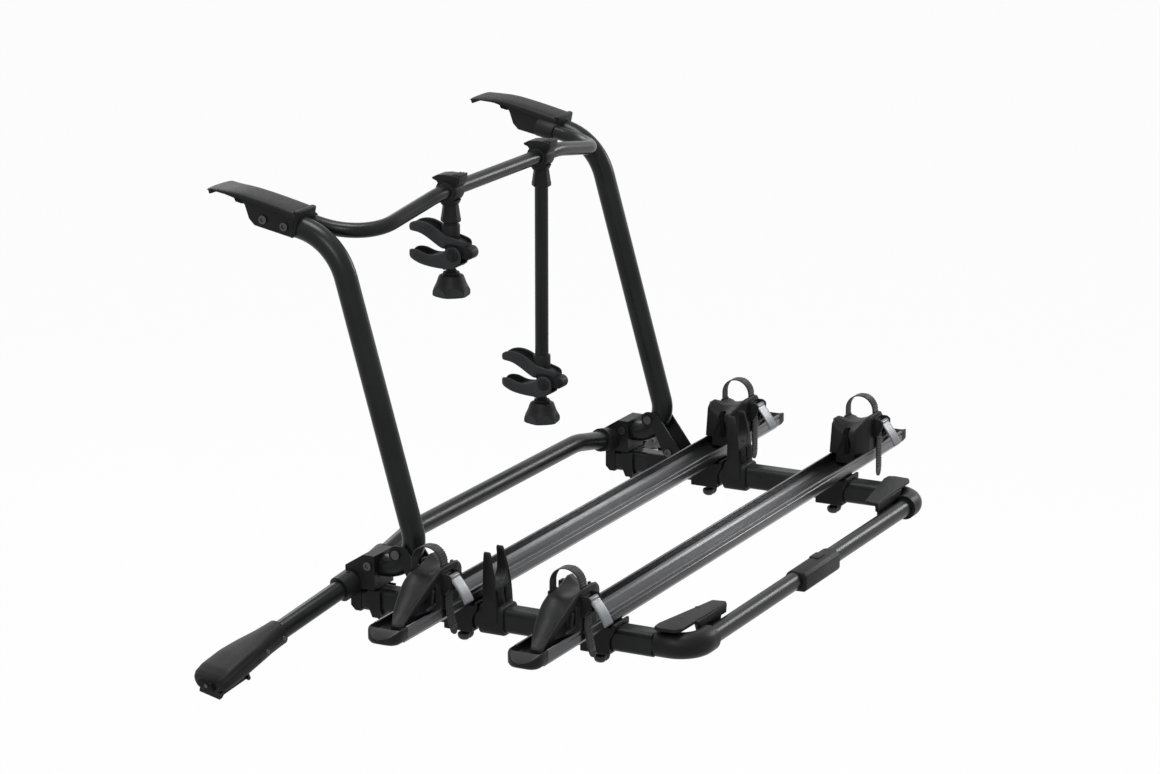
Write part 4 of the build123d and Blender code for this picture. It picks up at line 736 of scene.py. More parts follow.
def strap_path(y):
    """Path (y, z) of the strap and its outward normals, from the far root to the tail's tip."""
    arc = np.linspace(0, math.pi, 60)
    far = np.stack([np.full(10, y + STRAP_TURN), np.linspace(84.5, STRAP_TOP_Z, 10)], -1)
    over = np.stack([y + STRAP_TURN * np.cos(arc), STRAP_TOP_Z + STRAP_TURN * np.sin(arc)], -1)
    q = np.linspace(0, 1, 28)[1:]
    blend = q * q * (3 - 2 * q)
    hip = np.stack([y - STRAP_TURN - (STRAP_OUT - STRAP_TURN) * blend, STRAP_TOP_Z - 19.5 * q], -1)
    down = np.stack([np.full(110, y - STRAP_OUT), np.linspace(88.0, 8.2, 111)[1:]], -1)
    path = np.concatenate([far, over[1:], hip, down])
    d = np.gradient(path, axis=0)
    d /= np.linalg.norm(d, axis=1)[:, None]
    return path, np.stack([d[:, 1], -d[:, 0]], -1)


def strap_band(y):
    """Band of half width 9 whose outer face carries teeth 3.6 apart, with a rounded tip."""
    path, normal = strap_path(y)
    step = np.linalg.norm(np.diff(path, axis=0), axis=1)
    s = np.concatenate([[0.0], np.cumsum(step)])
    length = s[-1]
    wave = 1 - (s / TOOTH_PITCH) % 1.0
    fade_in = np.clip((s - TEETH_FROM) / 6.0, 0, 1)
    fade_out = np.clip((length - 8.0 - s) / 3.0, 0, 1)
    teeth = TOOTH_DEPTH * wave * fade_in * fade_out
    tip = np.sqrt(np.clip(1 - (np.clip(s - (length - STRAP_HALF), 0, STRAP_HALF) / 9.02) ** 2, 0, 1))
    half = STRAP_HALF * np.maximum(tip, 0.05)
    outer = 0.45 + teeth
    inner = np.full(len(s), 1.15)
    lean = np.clip((s - LEAN_FROM) / (length - LEAN_FROM), 0, 1) ** 1.3
    path = path - np.stack([4.5 * lean, 0.0 * lean], -1)
    cross = [(-1.0, -0.6), (-0.96, -1.0), (0.96, -1.0), (1.0, -0.6), (1.0, 0.2),
             (0.9, 0.9), (0.8, 1.0), (-0.8, 1.0), (-0.9, 0.9), (-1.0, 0.2)]
    rows = []
    for across, share in cross:
        offset = (outer if share > 0 else inner) * share
        yz = path + normal * offset[:, None]
        rows.append(np.stack([STRAP_X + half * across - 9.0 * lean, yz[:, 0], yz[:, 1]], -1))
    return np.stack(rows, 1).reshape(-1, 3), skin(len(s), len(cross))


for name, y, side in TRAY_ENDS:
    side_piece(side, name + "_toothed_strap", [strap_band(y)], "strap_plastic", name + "_holder",
               hides=[name + "_strap"], sharp=50.0)
print("straps made")

# %% [markdown]
# ## Buckle levers
# The lever is a light curved plate, as wide as the buckle, that hangs from its barrel.

# %% Buckle levers
LEVER_DROP = math.radians(58.0)
LEVER_LENGTH = 40.4
LEVER_HALF = 12.2
PLATE_HALF = 1.3             # half the plate's thickness
BARREL_HALF = 12.1
BARREL_R = 4.1
down = np.array([0.0, -math.cos(LEVER_DROP), -math.sin(LEVER_DROP)])
out = np.array([0.0, -math.sin(LEVER_DROP), math.cos(LEVER_DROP)])
s = np.linspace(-0.02, 1, 34)
rise = 1.4 + 2.6 * np.sin(np.clip(s, 0, 1) * math.pi * 0.82)
ends = np.sqrt(np.clip(1 - (2 * np.clip(s, 0, 1) - 1) ** 30, 0.04, 1))
ridge = 0.5 * np.abs(np.sin(s * math.pi * 17)) * np.clip(1 - s / 0.2, 0, 1)
reach = np.array([BARREL_HALF, 0.0, 0.0])
for name, y, side in TRAY_ENDS:
    pin = np.array([STRAP_X, y - BUCKLE_OUT, BUCKLE_Z])
    path = pin + down * (LEVER_LENGTH * s)[:, None] + out * rise[:, None]
    lever = [
        swept(path, (1, 0, 0), out, LEVER_HALF * (0.93 + 0.07 * ends), PLATE_HALF * ends + ridge,
              power=6.0, columns=32),
        bar(pin - reach, pin + reach, BARREL_R, columns=28),
    ]
    side_piece(side, name + "_lever_plate", lever, "silver_plastic", name + "_lever",
               hides=[name + "_buckle_lever"], sharp=45.0)
print("buckle levers made")

# %% [markdown]
# ## Wing knobs
# Under each saddle sits a knob that locks the tray: a short stem, then a flattened body with lobes.

# %% Wing knobs
SIDE_TUBE_X = 388.0
WING_FLUTE = 7.6
wing_profile = [
    (0.01, -12.7, 0), (5.6, -12.7, 0), (5.6, -18.4, 0), (6.6, -20.0, 0), (10.0, -19.6, 0.5), (13.4, -20.4, 1),
    (13.9, -22.0, 1), (13.6, -25.0, 1), (12.2, -27.8, 1), (9.0, -29.8, 0.8), (0.01, -30.4, 0),
]
for name, y, side in TRAY_ENDS:
    knob = turned(wing_profile, (side * SIDE_TUBE_X, y, 0.0), lobes=2, depth=WING_FLUTE, columns=72)
    piece(name + "_wing_knob", *knob, "grey_plastic", name + "_tray_knob",
          hides=[name + "_tray_knob"], sharp=40.0)
print("wing knobs made")

# %% [markdown]
# ## Bike arms
# Each arm hangs from a clamp with a swept top plate and an eight-sided collar. It ends in a jaw like
# a beak: two hollow boat-shaped shells with paler rims whose hollows are darkened as painted shade, and a
# bell-shaped knob that draws them shut, whose flats are lightened as a painted highlight.

# %% Clamp forms
ARM_Y = 44.5
BAR_Y = 45.6
BAR_Z = 533.0
ARMS = {"short": (-147.0, 443.0), "long": (125.0, 192.0)}      # X of the arm and Z of its jaw's pivot


def loft(levels, x, y, columns=40):
    """Upright loft: each level is (z, half width in x, half width in y, power of the section)."""
    levels = np.asarray(levels, float)
    _, u, v = oval(levels[:, 3:4], columns)
    return grid(x + u * levels[:, 1:2], y + v * levels[:, 2:3], levels[:, :1])


def ring_x(x, y, z, outer, inner, half, columns=48):
    """Ring round an axis along X with rounded rims, as one closed skin."""
    a = np.linspace(0, 2 * math.pi, columns, endpoint=False)
    rim = np.array([
        (-half, inner), (-half, outer - 1.2), (-half + 0.4, outer - 0.4), (-half + 1.4, outer),
        (half - 1.4, outer), (half - 0.4, outer - 0.4), (half, outer - 1.2), (half, inner)])
    points, _ = grid(x + rim[:, 0][None], y + rim[:, 1][None] * np.cos(a)[:, None],
                     z + rim[:, 1][None] * np.sin(a)[:, None])
    return np.concatenate([points, points[:len(rim)]]), skin(columns + 1, len(rim), caps=False)


print("clamp forms ready")

# %% Arm clamps
RING = (17.0, 12.6, 12.8)           # outer radius, inner radius, half length
WING_HALF = 12.9
WING_SIDE = [(-21.5, 14.0), (-22.0, 22.5), (-12.0, 24.0), (2.0, 24.4), (14.0, 22.8), (22.5, 18.4),
             (21.0, 16.2), (15.0, 14.0), (11.0, 8.0), (-16.0, 6.0)]
RIDGE_STEP = 4.6
RIDGE_WIDE = 2.6
NECK = [(520.5, 8.0, 10.0, 4), (520.0, 11.5, 14.6, 4), (516.0, 11.0, 13.2, 3.2), (512.6, 10.2, 11.6, 2.4),
        (512.0, 9.0, 9.0, 2)]
COLLAR_PROFILE = [(0.01, 513.2, 0), (10.4, 513.2, 0), (11.4, 512.4, 0), (13.8, 495.4, 0), (14.4, 493.6, 0),
                  (14.4, 489.4, 0), (13.8, 488.6, 0), (12.4, 487.4, 0), (0.01, 487.2, 0)]
c, t = math.cos(math.pi / 8), math.sin(math.pi / 8)
points, collar_faces = turned(COLLAR_PROFILE, (0.0, 0.0, 0.0), columns=8)
spun = np.stack([points[:, 0] * c - points[:, 1] * t, points[:, 0] * t + points[:, 1] * c, points[:, 2]], -1)
for arm, (x, z) in ARMS.items():
    ridges = [BAR_Y - 22.0 + RIDGE_STEP * k for k in range(3)]
    clamp = [
        ring_x(x, BAR_Y, BAR_Z, *RING),
        slab_x(rounded(WING_SIDE, 3.0), x - WING_HALF, x + WING_HALF, 1.6, (BAR_Y, BAR_Z)),
        *[pad_block((x - 12.0, low, BAR_Z + 21.0), (x + 12.0, low + RIDGE_WIDE, BAR_Z + 25.2), 0.9)
          for low in ridges],
        loft(NECK, x, BAR_Y),
        (spun + np.array([x, ARM_Y, 0.0]), collar_faces),
    ]
    piece(arm + "_clamp_body", *joined(clamp), "black_plastic", arm + "_arm",
          hides=[arm + "_arm_clamp"], sharp=32.0)
print("arm clamps made")


# %% Jaw shells
OUTER_SKIN = [(0.0, 0.0), (0.45, 0.0), (0.78, 0.05), (0.93, 0.20), (0.985, 0.45), (1.0, 0.75), (0.99, 0.93),
              (0.95, 1.0), (0.86, 1.0), (0.80, 0.93)]
INNER_SKIN = [(0.77, 0.7), (0.68, 0.3), (0.5, 0.08), (0.0, 0.0)]
JAW_COLUMNS = 2 * (len(OUTER_SKIN) + len(INNER_SKIN)) - 2
HOLLOW = range(len(OUTER_SKIN) - 1, len(OUTER_SKIN) + 7)      # columns of faces that line the hollow
POINTS_PER_STATION = 4
JAW_SHELL = {"slot": "black_plastic", "material": "grip_rubber", "sharp": 50.0}


def boat(stations, x, pivot_z):
    """Hollow shell of a jaw.

    A station is (y, lowest z, highest z, half width, share of the depth that the floor stands at).
    Its section goes up the outer wall, over the rim, down inside to the floor and back again."""
    st = np.asarray(stations, float)
    t = np.linspace(0, len(st) - 1, POINTS_PER_STATION * len(st))
    st = np.stack([np.interp(t, np.arange(len(st)), st[:, k]) for k in range(5)], -1)
    for _ in range(3):
        st[1:-1] = sum(w * st[k:len(st) - 2 + k] for k, w in enumerate((0.25, 0.5, 0.25)))
    floor = st[:, 1] + st[:, 4] * (st[:, 2] - st[:, 1])
    part = [np.stack([u * st[:, 3], st[:, 1] + w * (st[:, 2] - st[:, 1])], -1) for u, w in OUTER_SKIN]
    part += [np.stack([u * st[:, 3], floor + w * (st[:, 2] - floor)], -1) for u, w in INNER_SKIN]
    part = np.stack(part, 1)
    back = part[:, ::-1][:, 1:-1] * np.array([-1.0, 1.0])
    section = np.concatenate([part, back], 1)
    return grid(x + section[..., 0], (ARM_Y + st[:, 0])[:, None], pivot_z + section[..., 1])


def paint_hollow_shade(shell_piece, stations):
    """Darken the hollow of a jaw with the black_rubber finish, as painted shade. The shell's faces come first
    in its mesh.
    """
    shell_piece.data.materials.append(FINISH["black_rubber"])
    last = (POINTS_PER_STATION * len(stations) - 1) * JAW_COLUMNS
    for index, face in enumerate(shell_piece.data.polygons):
        if index < last and index % JAW_COLUMNS in HOLLOW:
            face.material_index = 1


def shade_sheet_stations(stations, lift, share):
    """Stations of a dark sheet of painted shade inside a jaw's hollow: narrower than the shell, and up to a
    share of its depth.
    """
    return [(y, low + lift, low + share * (high - low), half * 0.8, 0.98) for y, low, high, half, _ in stations]


TIP_DROP = 8.0              # fall of the upper jaw's line at its tip
DROP_FROM = 18.0
DROP_OVER = 46.0
upper_line = [
    (64.0, 38.6, 41.6, 4.0, 0.5), (63.2, 36.6, 43.6, 7.6, 0.5), (60.5, 34.8, 46.2, 10.4, 0.55),
    (55.0, 33.4, 48.4, 12.4, 0.6), (46.0, 30.6, 48.6, 13.8, 0.55), (36.0, 25.0, 46.4, 14.6, 0.45),
    (26.0, 17.6, 42.0, 14.8, 0.4), (16.0, 10.4, 36.0, 14.8, 0.35), (8.0, 6.4, 31.4, 14.8, 0.3),
    (4.6, 7.0, 29.6, 14.8, 0.3), (1.4, 13.4, 28.0, 14.8, 0.3), (-8.0, 13.6, 25.4, 14.8, 0.3),
    (-16.0, 13.4, 23.6, 14.2, 0.3), (-23.0, 11.6, 22.0, 12.4, 0.4), (-28.0, 11.0, 20.0, 9.4, 0.5),
    (-31.0, 13.0, 17.6, 5.0, 0.6),
]
lower_stations = [
    (64.0, -8.6, -4.0, 4.6, 0.5), (63.0, -10.4, -1.0, 8.4, 0.45), (60.0, -12.4, 2.0, 11.2, 0.4),
    (54.0, -15.0, 3.0, 13.4, 0.4), (46.0, -18.0, 2.4, 14.6, 0.45), (38.0, -19.8, -0.6, 14.8, 0.6),
    (30.0, -21.0, -2.8, 14.8, 0.85), (20.0, -22.0, -2.6, 14.8, 0.97), (12.0, -22.5, -0.6, 14.8, 0.99),
    (5.0, -22.6, 2.2, 14.8, 0.99), (4.0, -22.6, 2.4, 14.6, 0.99),
]
upper_stations = []
for y, low, high, half, share in upper_line:
    fall = TIP_DROP * max(0.0, (y - DROP_FROM) / DROP_OVER) ** 1.3
    upper_stations.append((y, low - fall, high - fall, half, share))
print("jaw stations", len(upper_stations), len(lower_stations))

# %% Jaws
CORE_SIDE = [(6.0, 8.0), (14.0, 14.0), (10.0, 26.0), (-4.0, 24.0), (-20.0, 19.0), (-28.0, 12.0),
             (-29.0, -4.0), (-12.0, -6.0), (-2.0, -2.0)]
CHEEK_DISC = [(6.0, -22.4), (6.0, 2.0), (1.2, 7.4), (-5.0, 11.2), (-14.0, 11.8), (-20.0, 7.0), (-22.2, 0.0),
              (-21.0, -10.0), (-13.0, -18.4)]
FLOOR_SIDE = [(6.0, -13.2), (6.0, -22.3), (-12.6, -18.2), (-20.6, -12.9)]
JAW_NECK = [(0.01, 15.0), (11.6, 15.0), (12.9, 20.0), (12.9, 40.4), (12.2, 41.8), (10.2, 41.9)]
PIVOT_BACK = 10.0           # the jaw's pivot lies behind the arm
CHEEK_AT = 12.7             # middle of a cheek's thickness, from the arm's middle
CHEEK_HALF = 2.2
for arm, (x, z) in ARMS.items():
    at = (ARM_Y, z)
    body, jaw = arm + "_arm", arm + "_jaw"
    shell = piece(arm + "_jaw_upper_shell", *boat(upper_stations, x, z), body=body,
                  hides=[arm + "_upper_jaw"], **JAW_SHELL)
    # The upper hollow's faces take the darker black_rubber finish: painted shade.
    paint_hollow_shade(shell, upper_stations)
    core = [
        slab_x(rounded(CORE_SIDE, 3.0), x - 9.8, x + 9.8, 1.0, at),
        bar((x - 9.9, ARM_Y - 30.0, z + 4.0), (x + 9.9, ARM_Y - 30.0, z + 4.0), 9.4, columns=36),
        bar((x - 14.9, ARM_Y - PIVOT_BACK, z), (x + 14.9, ARM_Y - PIVOT_BACK, z), 4.0),
        turned([(radius, z + up, 0) for radius, up in JAW_NECK], (x, ARM_Y, 0.0), columns=40),
    ]
    piece(arm + "_jaw_upper_core", *joined(core), "black_plastic", body, sharp=38.0)
    # A dark sheet inside the upper hollow: painted shade.
    piece(arm + "_jaw_upper_painted_shade", *boat(shade_sheet_stations(upper_stations[2:11], 1.2, 0.52), x, z), "black_plastic",
          body, material="black_rubber")
    lower = [
        boat(lower_stations, x, z),
        *[slab_x(rounded(CHEEK_DISC, 5.0), x + cheek - CHEEK_HALF, x + cheek + CHEEK_HALF, 0.9, at)
          for cheek in (-CHEEK_AT, CHEEK_AT)],
        slab_x(rounded(FLOOR_SIDE, 1.5), x - 14.6, x + 14.6, 0.8, at),
    ]
    shell = piece(arm + "_jaw_lower_shell", *joined(lower), body=jaw, hides=[arm + "_lower_jaw"], **JAW_SHELL)
    # The lower hollow's faces take the darker black_rubber finish: painted shade.
    paint_hollow_shade(shell, lower_stations)
    hub = []
    for way in (-1.0, 1.0):
        start = np.array([x + way * 14.6, ARM_Y - PIVOT_BACK, z])
        hub += [bar(start, start + np.array([way * 1.8, 0.0, 0.0]), 9.0, columns=40),
                bar(start, start + np.array([way * 3.0, 0.0, 0.0]), 3.4, columns=6)]
    piece(arm + "_jaw_hub", *joined(hub), "black_plastic", jaw, sharp=40.0)
    # A dark sheet inside the lower hollow: painted shade.
    piece(arm + "_jaw_lower_painted_shade", *boat(shade_sheet_stations(lower_stations[2:8], 1.0, 0.62), x, z), "black_plastic",
          jaw, material="black_rubber")
print("jaws made")


# %% Clamp knobs
BELL_PROFILE = [
    (0.01, -23.2), (7.4, -23.2), (7.4, -26.2), (11.0, -26.4), (11.8, -27.2), (11.8, -29.6), (11.0, -30.4),
    (15.2, -30.8), (17.4, -32.0), (18.6, -34.6), (19.8, -38.0), (21.2, -42.0), (23.0, -46.0), (25.2, -50.0),
    (26.8, -53.0), (27.8, -56.0), (27.9, -57.6), (27.2, -59.4), (25.6, -60.5), (22.5, -60.9), (20.0, -59.4),
    (0.01, -59.2),
]
FLATS = 6
FLAT_REACH = 23.6
FLAT_TURN = 0.35


def bell(x, pivot_z, columns=144):
    """Bell-shaped knob with flat arches.

    Its radius is the smaller of the bell's profile and flat / cos(angle), where the angle is measured
    from the middle of the nearest flat. As the bell widens downwards, each flat ends in an arch."""
    profile = np.array(BELL_PROFILE)
    t = np.linspace(0, len(profile) - 1, 3 * len(profile) - 2)
    index = np.arange(len(profile))
    profile = np.stack([np.interp(t, index, profile[:, k]) for k in (0, 1)], -1)
    a = np.linspace(0, 2 * math.pi, columns, endpoint=False)
    sector = 2 * math.pi / FLATS
    off = (a + FLAT_TURN + sector / 2) % sector - sector / 2
    limit = FLAT_REACH / np.cos(off)
    low = np.clip((-36.0 - profile[:, 1]) / 3.0, 0, 1)[:, None]
    radius = np.minimum(profile[:, :1], limit[None] + 9.0 * (1 - low))
    return grid(x + radius * np.cos(a), ARM_Y + radius * np.sin(a), profile[:, 1:] + pivot_z)


def on_flat(face, centre):
    """Whether a face of the knob lies on one of its flats."""
    x, y, z = (np.array(face.center) - centre) / MM
    straight = abs(x * face.normal.x + y * face.normal.y)
    upright = abs(face.normal.z) < 0.12
    return -59.2 < z < -37.0 and upright and abs(straight - FLAT_REACH) < 0.35 and math.hypot(x, y) > 23.2


for arm, (x, z) in ARMS.items():
    knob = piece(arm + "_clamp_knob", *bell(x, z), "grey_plastic", arm + "_knob", hides=[arm + "_arm_knob"],
                 material="black_plastic", sharp=28.0)
    # The flats get the lighter grip_rubber finish: a painted highlight for the light that the flat faces catch.
    knob.data.materials.append(FINISH["grip_rubber"])
    centre = place([x, ARM_Y, z])
    for face in knob.data.polygons:
        if on_flat(face, centre):
            face.material_index = 1
print("clamp knobs made")

# %% [markdown]
# ## Feet
# A foot is a soft boot on a tube. Its sections go from the tube's circle to a wide flat toe.

# %% Boot form
FOOT_DIR = np.array([0.923, 0.265, -0.279])
FOOT_DIR /= np.linalg.norm(FOOT_DIR)
FOOT_SIDE = np.array([0.0, 1.0, 0.0]) - FOOT_DIR * FOOT_DIR[1]
FOOT_SIDE /= np.linalg.norm(FOOT_SIDE)
FOOT_UP = np.cross(FOOT_DIR, FOOT_SIDE)
FOOT_UP *= np.sign(FOOT_UP[2])
FOOT_START = np.array([385.0, 52.0, 40.0])
TOE_SLANT = 9.0
BOOT_COLUMNS = 56


def on_foot(t, u, v):
    """Place at t along the arm, u across it and v above it."""
    return FOOT_START + FOOT_DIR * t + FOOT_SIDE * u + FOOT_UP * v


def boot_size(t):
    """Half width, half height and lift of the boot's section at t along the arm."""
    at = [168, 180, 200, 225, 255, 285, 298, 304, 306]
    width = np.interp(t, at, [18, 18.6, 21, 25.5, 28.6, 30, 28.6, 25.0, 20.0])
    height = np.interp(t, [at[0], *at[2:]], [18, 17.0, 15.6, 15.0, 13.4, 11.6, 10.0, 7.0])
    lift = np.interp(t, [168, 225, 306], [0, 1.4, 1.4]) + np.clip((t - 225) / 30, 0, 1) * (height - 15.4)
    return width, height, lift


def boot():
    """Boot round the foot tube. The section's power grows from 2, a circle, to 3.4, a rounded box."""
    t = np.concatenate([[168.1, 168.5, 169.5], np.linspace(171, 298, 44), [300, 302, 304.0, 305.2, 305.9]])
    width, height, lift = boot_size(t)
    width[:2] = [15.5, 17.4]
    height[:2] = [15.5, 17.4]
    power = np.interp(t, [168, 200, 250], [2, 2.3, 3.4])
    angle, u, v = oval(power[:, None], BOOT_COLUMNS)
    s = np.sin(angle)[None]
    crease = 1 - 0.07 * np.exp(-((s - 0.55) / 0.12) ** 2) * (u < 0) * np.clip((t - 215) / 30, 0, 1)[:, None]
    u = u * width[:, None] * crease
    v = v * height[:, None] * crease + lift[:, None]
    slant = np.clip((t - 270.0) / 36.0, 0, 1)[:, None] * np.clip(-u / 30.0, 0, 1) * TOE_SLANT
    along = t[:, None] - slant
    return on_foot(along[..., None], u[..., None], v[..., None]).reshape(-1, 3), skin(len(t), BOOT_COLUMNS)


print("boot form ready")

# %% Feet
SCREWS = ((176.0, -17.2, 0.5), (212.0, -22.6, 1.5))
SLOTS = ((262.0, -20.0, 10.6), (256.0, -27.8, 1.0), (232.0, -25.6, -1.0))
TOE_PLATE = [(-13.5, -11.0), (14.0, -11.0), (17.0, -3.0), (9.0, 2.0), (-11.0, 1.4)]
screws = []
for t, u, v in SCREWS:
    screws += [bar(on_foot(t, u + 1.0, v), on_foot(t, u - 2.2, v), 3.4, columns=24),
               bar(on_foot(t, u - 2.0, v), on_foot(t, u - 2.8, v), 1.8, columns=6)]
dark = [bar(on_foot(t - 5.0, u + 1.0, v), on_foot(t + 5.0, u + 0.4, v), 1.5, columns=12) for t, u, v in SLOTS]
points, faces = slab(rounded(TOE_PLATE, 3.0), 300.0, 307.4, 0.8)
dark.append((on_foot(points[:, 2:3], points[:, 0:1], points[:, 1:2]), faces))
toe = bar(on_foot(306.4, -2.0, -4.0), on_foot(309.0, -2.0, -4.0), 3.2, columns=6)
for side_name, side in SIDES.items():
    body = side_name + "_foot"
    side_piece(side, side_name + "_boot", [boot()], "black_plastic", body, hides=[body + "_shell"], sharp=50.0)
    side_piece(side, side_name + "_boot_screws", screws, "dark_steel", body)
    side_piece(side, side_name + "_boot_dark_parts", dark, "black_plastic", body, material="black_rubber")
    side_piece(side, side_name + "_toe_screw", [toe], "dark_steel", body)
print("boots made")

# %% [markdown]
# ## Corner plates
# Over each outer corner lies a flat wedge that a foot or a hand can press on. Its front edge turns
# down to a web that stands on the outer bar.

# %% Corner plates
PLATE_TOP = [(258.0, -440.0), (262.0, -419.0), (384.0, -397.6), (399.0, -398.6), (403.0, -408.0),
             (401.0, -431.0), (392.0, -436.0)]
WEB_FRONT = [(276.0, 2.0), (270.0, 31.5), (350.0, 31.5), (336.0, 2.0)]
LIP_FRONT = [(262.0, 20.0), (260.0, 33.0), (352.0, 33.0), (346.0, 22.0)]
KNUCKLES_X = (300.0, 350.0)
wedge = [
    slab(rounded(PLATE_TOP, 4.0), 29.6, 35.0, 1.4),
    slab_y(rounded(WEB_FRONT, 2.0), -438.0, -433.4, 0.8),
    slab_y(rounded(LIP_FRONT, 1.6), -440.4, -435.6, 0.8),
    *[bar((x, -416.0, 34.0), (x, -416.0, 35.2), 4.2, columns=28) for x in KNUCKLES_X],
]
for side_name, side in SIDES.items():
    side_piece(side, side_name + "_corner_wedge", wedge, "black_plastic", "platform", hides=["corner_plates"])
print("corner plates made")

# %% [markdown]
# ## Fork clips and sleeve
# A fork clip is a band round the side tube with two prongs that taper to rounded tips; the upright
# snaps in between them when the platform is folded. The outer bar carries a plain rounded sleeve.

# %% Fork clips
TUBE_AXIS_Z = 8.0
CLIP_Y = -158.0
FORK_HALF = 11.0
BAND_OUT = 22.2
BAND_UP = 21.2
BAND_HALF = 19.0
CUP_R = 17.0
CUP_Z = 76.0
PRONG = [(24.0, 6.0), (24.0, 24.0), (24.0, 42.0), (23.8, 58.0), (23.4, 72.0), (22.8, 84.0), (21.8, 94.0),
         (20.9, 100.0), (19.6, 103.2), (17.6, 103.9), (16.0, 102.4), (15.4, 99.4), (16.2, 95.0), (17.0, 88.0)]
PITS_X = ((SIDE_TUBE_X - 20.0, SIDE_TUBE_X - 2.5), (SIDE_TUBE_X + 2.5, SIDE_TUBE_X + 20.0))


def clip_fork():
    """Fork of a clip as an outline in (x, z) carried along Y.

    Its near face leans back: at height z the piece is w(z) wide and keeps its far face at
    CLIP_Y + 11, with w from 22 at the band to 9 at the tips."""
    arc = np.linspace(0, math.pi, 25)
    cup = np.stack([CUP_R * np.cos(arc), CUP_Z - CUP_R * np.sin(arc)], -1)
    half = np.array(PRONG)
    outline = np.concatenate([half, cup, half[::-1] * np.array([-1.0, 1.0])])
    points, faces = slab(outline + np.array([SIDE_TUBE_X, 0.0]), -FORK_HALF, FORK_HALF, 1.6)
    wide = np.interp(points[:, 1], [0, 30, 55, 75, 92, 104], [22, 22, 19.5, 15.5, 12, 9])
    shifted = FORK_HALF - (FORK_HALF - points[:, 2]) * wide / 22.0
    return np.stack([points[:, 0], CLIP_Y + shifted, points[:, 1]], -1), faces


band = [(-BAND_OUT, -BAND_UP), (BAND_OUT, -BAND_UP), (BAND_OUT, BAND_UP), (-BAND_OUT, BAND_UP)]
clip = [slab_y(rounded(band, 12.0, steps=9), CLIP_Y - BAND_HALF, CLIP_Y + BAND_HALF, 2.4,
               (SIDE_TUBE_X, TUBE_AXIS_Z)), clip_fork()]
# Two dark patches on the fork's near face: painted shade standing for its pits.
pits = [slab_y(rounded([(low, 30.0), (high, 30.0), (high, 52.0), (low, 52.0)], 2.0),
               CLIP_Y - 10.9, CLIP_Y - 7.0, 0.4) for low, high in PITS_X]
for side_name, side in SIDES.items():
    side_piece(side, side_name + "_fork_clip", clip, "black_plastic", "platform",
               hides=["fork_clips"], sharp=40.0)
    side_piece(side, side_name + "_fork_clip_pit_shade", pits, "black_plastic", "platform", material="black_rubber")
print("fork clips made")

# %% Bar sleeve
OUTER_BAR_Y = -450.0
SLEEVE_R = 15.2
SLEEVE_HALF = 60.0
back_arc = np.linspace(math.radians(100), math.radians(-80), 20)
round_back = np.stack([SLEEVE_R * np.cos(back_arc), SLEEVE_R * np.sin(back_arc)], -1)
front = [(-3.0, 15.2), (-13.5, 13.2), (-18.4, 8.0), (-18.4, -10.5), (-15.6, -14.8), (2.0, -15.2)]
outline = np.concatenate([round_back[::-1][1:-1], rounded(front, 4.0)[4:-4]])
sleeve = [
    slab_x(outline, -SLEEVE_HALF, SLEEVE_HALF, 3.0, (OUTER_BAR_Y, TUBE_AXIS_Z)),
    pad_block((6.0, OUTER_BAR_Y - 7.0, TUBE_AXIS_Z + 12.0), (30.0, OUTER_BAR_Y + 7.0, TUBE_AXIS_Z + 16.4), 1.2),
]
piece("outer_bar_sleeve", *joined(sleeve), "black_plastic", "platform", hides=["bar_sleeve"], sharp=40.0)
print("sleeve made")

# %% [markdown]
# ## Studio
# The rack hangs in the air as it does on a car. The floor lies well below, and the light is soft:
# a strong panel above, one on each side and one behind.

# %% Studio
FLOOR_DROP = 0.75
FLOOR_REACH = 30.0
FLOOR_GLOW = 0.97            # share of plain white that the camera and the gloss see
WHITE = (1.0, 1.0, 1.0, 1.0)
scene = bpy.context.scene
scene.view_settings.view_transform = "Standard"


def seen_straight(tree):
    """1 for the rays of the camera, of a gloss and through glass, and 0 for all others."""
    path = new_node(tree, "LightPath", {}).outputs
    seen = new_node(tree, "Math", {0: path["Is Camera Ray"], 1: path["Is Glossy Ray"]}, operation="MAXIMUM")
    through = new_node(tree, "Math", {0: seen.outputs["Value"], 1: path["Is Transmission Ray"]},
                       operation="MAXIMUM")
    return through.outputs["Value"]


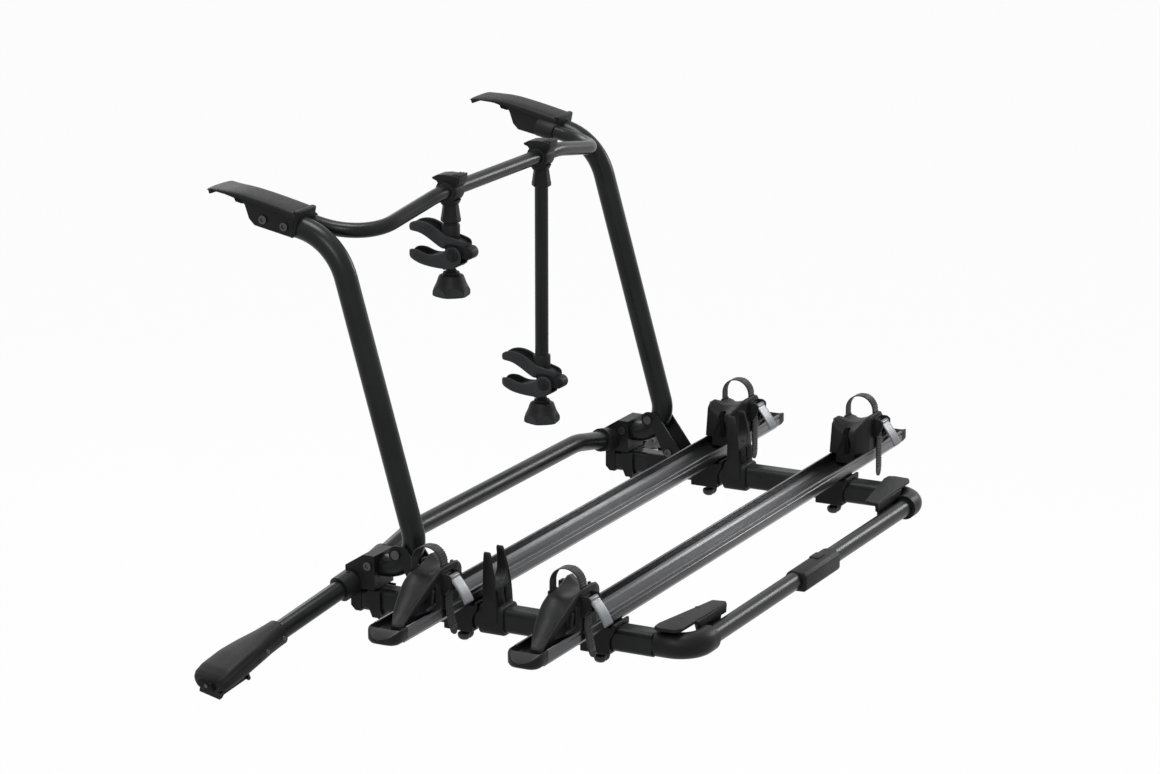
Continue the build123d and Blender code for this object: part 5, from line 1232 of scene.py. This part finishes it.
floor_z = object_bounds()[0][2] - FLOOR_DROP
corners = [(-1, -1), (1, -1), (1, 1), (-1, 1)]
floor_mesh = bpy.data.meshes.new("floor")
floor_mesh.from_pydata([(FLOOR_REACH * x, FLOOR_REACH * y, floor_z) for x, y in corners], [], [[0, 1, 2, 3]])
floor = bpy.data.objects.new("floor", floor_mesh)
scene.collection.objects.link(floor)
floor_material = bpy.data.materials.new("floor")
floor_material.use_nodes = True
floor_mesh.materials.append(floor_material)
tree = floor_material.node_tree
matt = feed(tree, tree.nodes["Principled BSDF"], {"Base Color": (0.85, 0.85, 0.85, 1.0), "Roughness": 0.9})
glow = new_node(tree, "Emission", {"Color": WHITE})
share = new_node(tree, "Math", {0: seen_straight(tree), 1: FLOOR_GLOW}, operation="MULTIPLY")
mix = new_node(tree, "MixShader", {
    "Fac": share.outputs["Value"], 1: matt.outputs["BSDF"], 2: glow.outputs["Emission"]})
feed(tree, tree.nodes["Material Output"], {"Surface": mix.outputs["Shader"]})
print("floor at", round(floor_z, 3))

# %% Sky and lamps
SKY_STRENGTH = 0.20
STEEP = 0.99                 # a lamp that looks down more steeply takes its side from X
world = bpy.data.worlds.new("studio")
scene.world = world
world.use_nodes = True
tree = world.node_tree
soft_sky = feed(tree, tree.nodes["Background"], {"Color": WHITE, "Strength": SKY_STRENGTH})
white_sky = new_node(tree, "Background", {"Color": WHITE, "Strength": 1.0})
mix = new_node(tree, "MixShader", {
    "Fac": seen_straight(tree), 1: soft_sky.outputs["Background"], 2: white_sky.outputs["Background"]})
feed(tree, tree.nodes["World Output"], {"Surface": mix.outputs["Shader"]})


def lamp(name, at, aim, size, power):
    """Square soft lamp that looks from one place to another."""
    data = bpy.data.lights.new(name, "AREA")
    data.size = size
    data.energy = power
    obj = bpy.data.objects.new(name, data)
    direction = np.array(aim, float) - np.array(at, float)
    z = -direction / np.linalg.norm(direction)
    x = np.cross([0.0, 0.0, 1.0], z) if abs(z[2]) < STEEP else np.array([1.0, 0.0, 0.0])
    x /= np.linalg.norm(x)
    obj.matrix_world = Matrix.Translation(at) @ facing(x, np.cross(z, x), z)
    scene.collection.objects.link(obj)


middle = (0.0, -0.35, -0.35)
lamp("top_panel", (-0.3, -0.2, 2.4), middle, 1.1, 68.0)
lamp("side_panel", (-2.8, -0.9, 1.5), middle, 0.8, 32.0)
lamp("rear_panel", (1.8, 2.2, 1.6), middle, 1.5, 30.0)
lamp("right_panel", (2.58, -1.53, 0.63), middle, 0.7, 22.0)
print("studio lit")
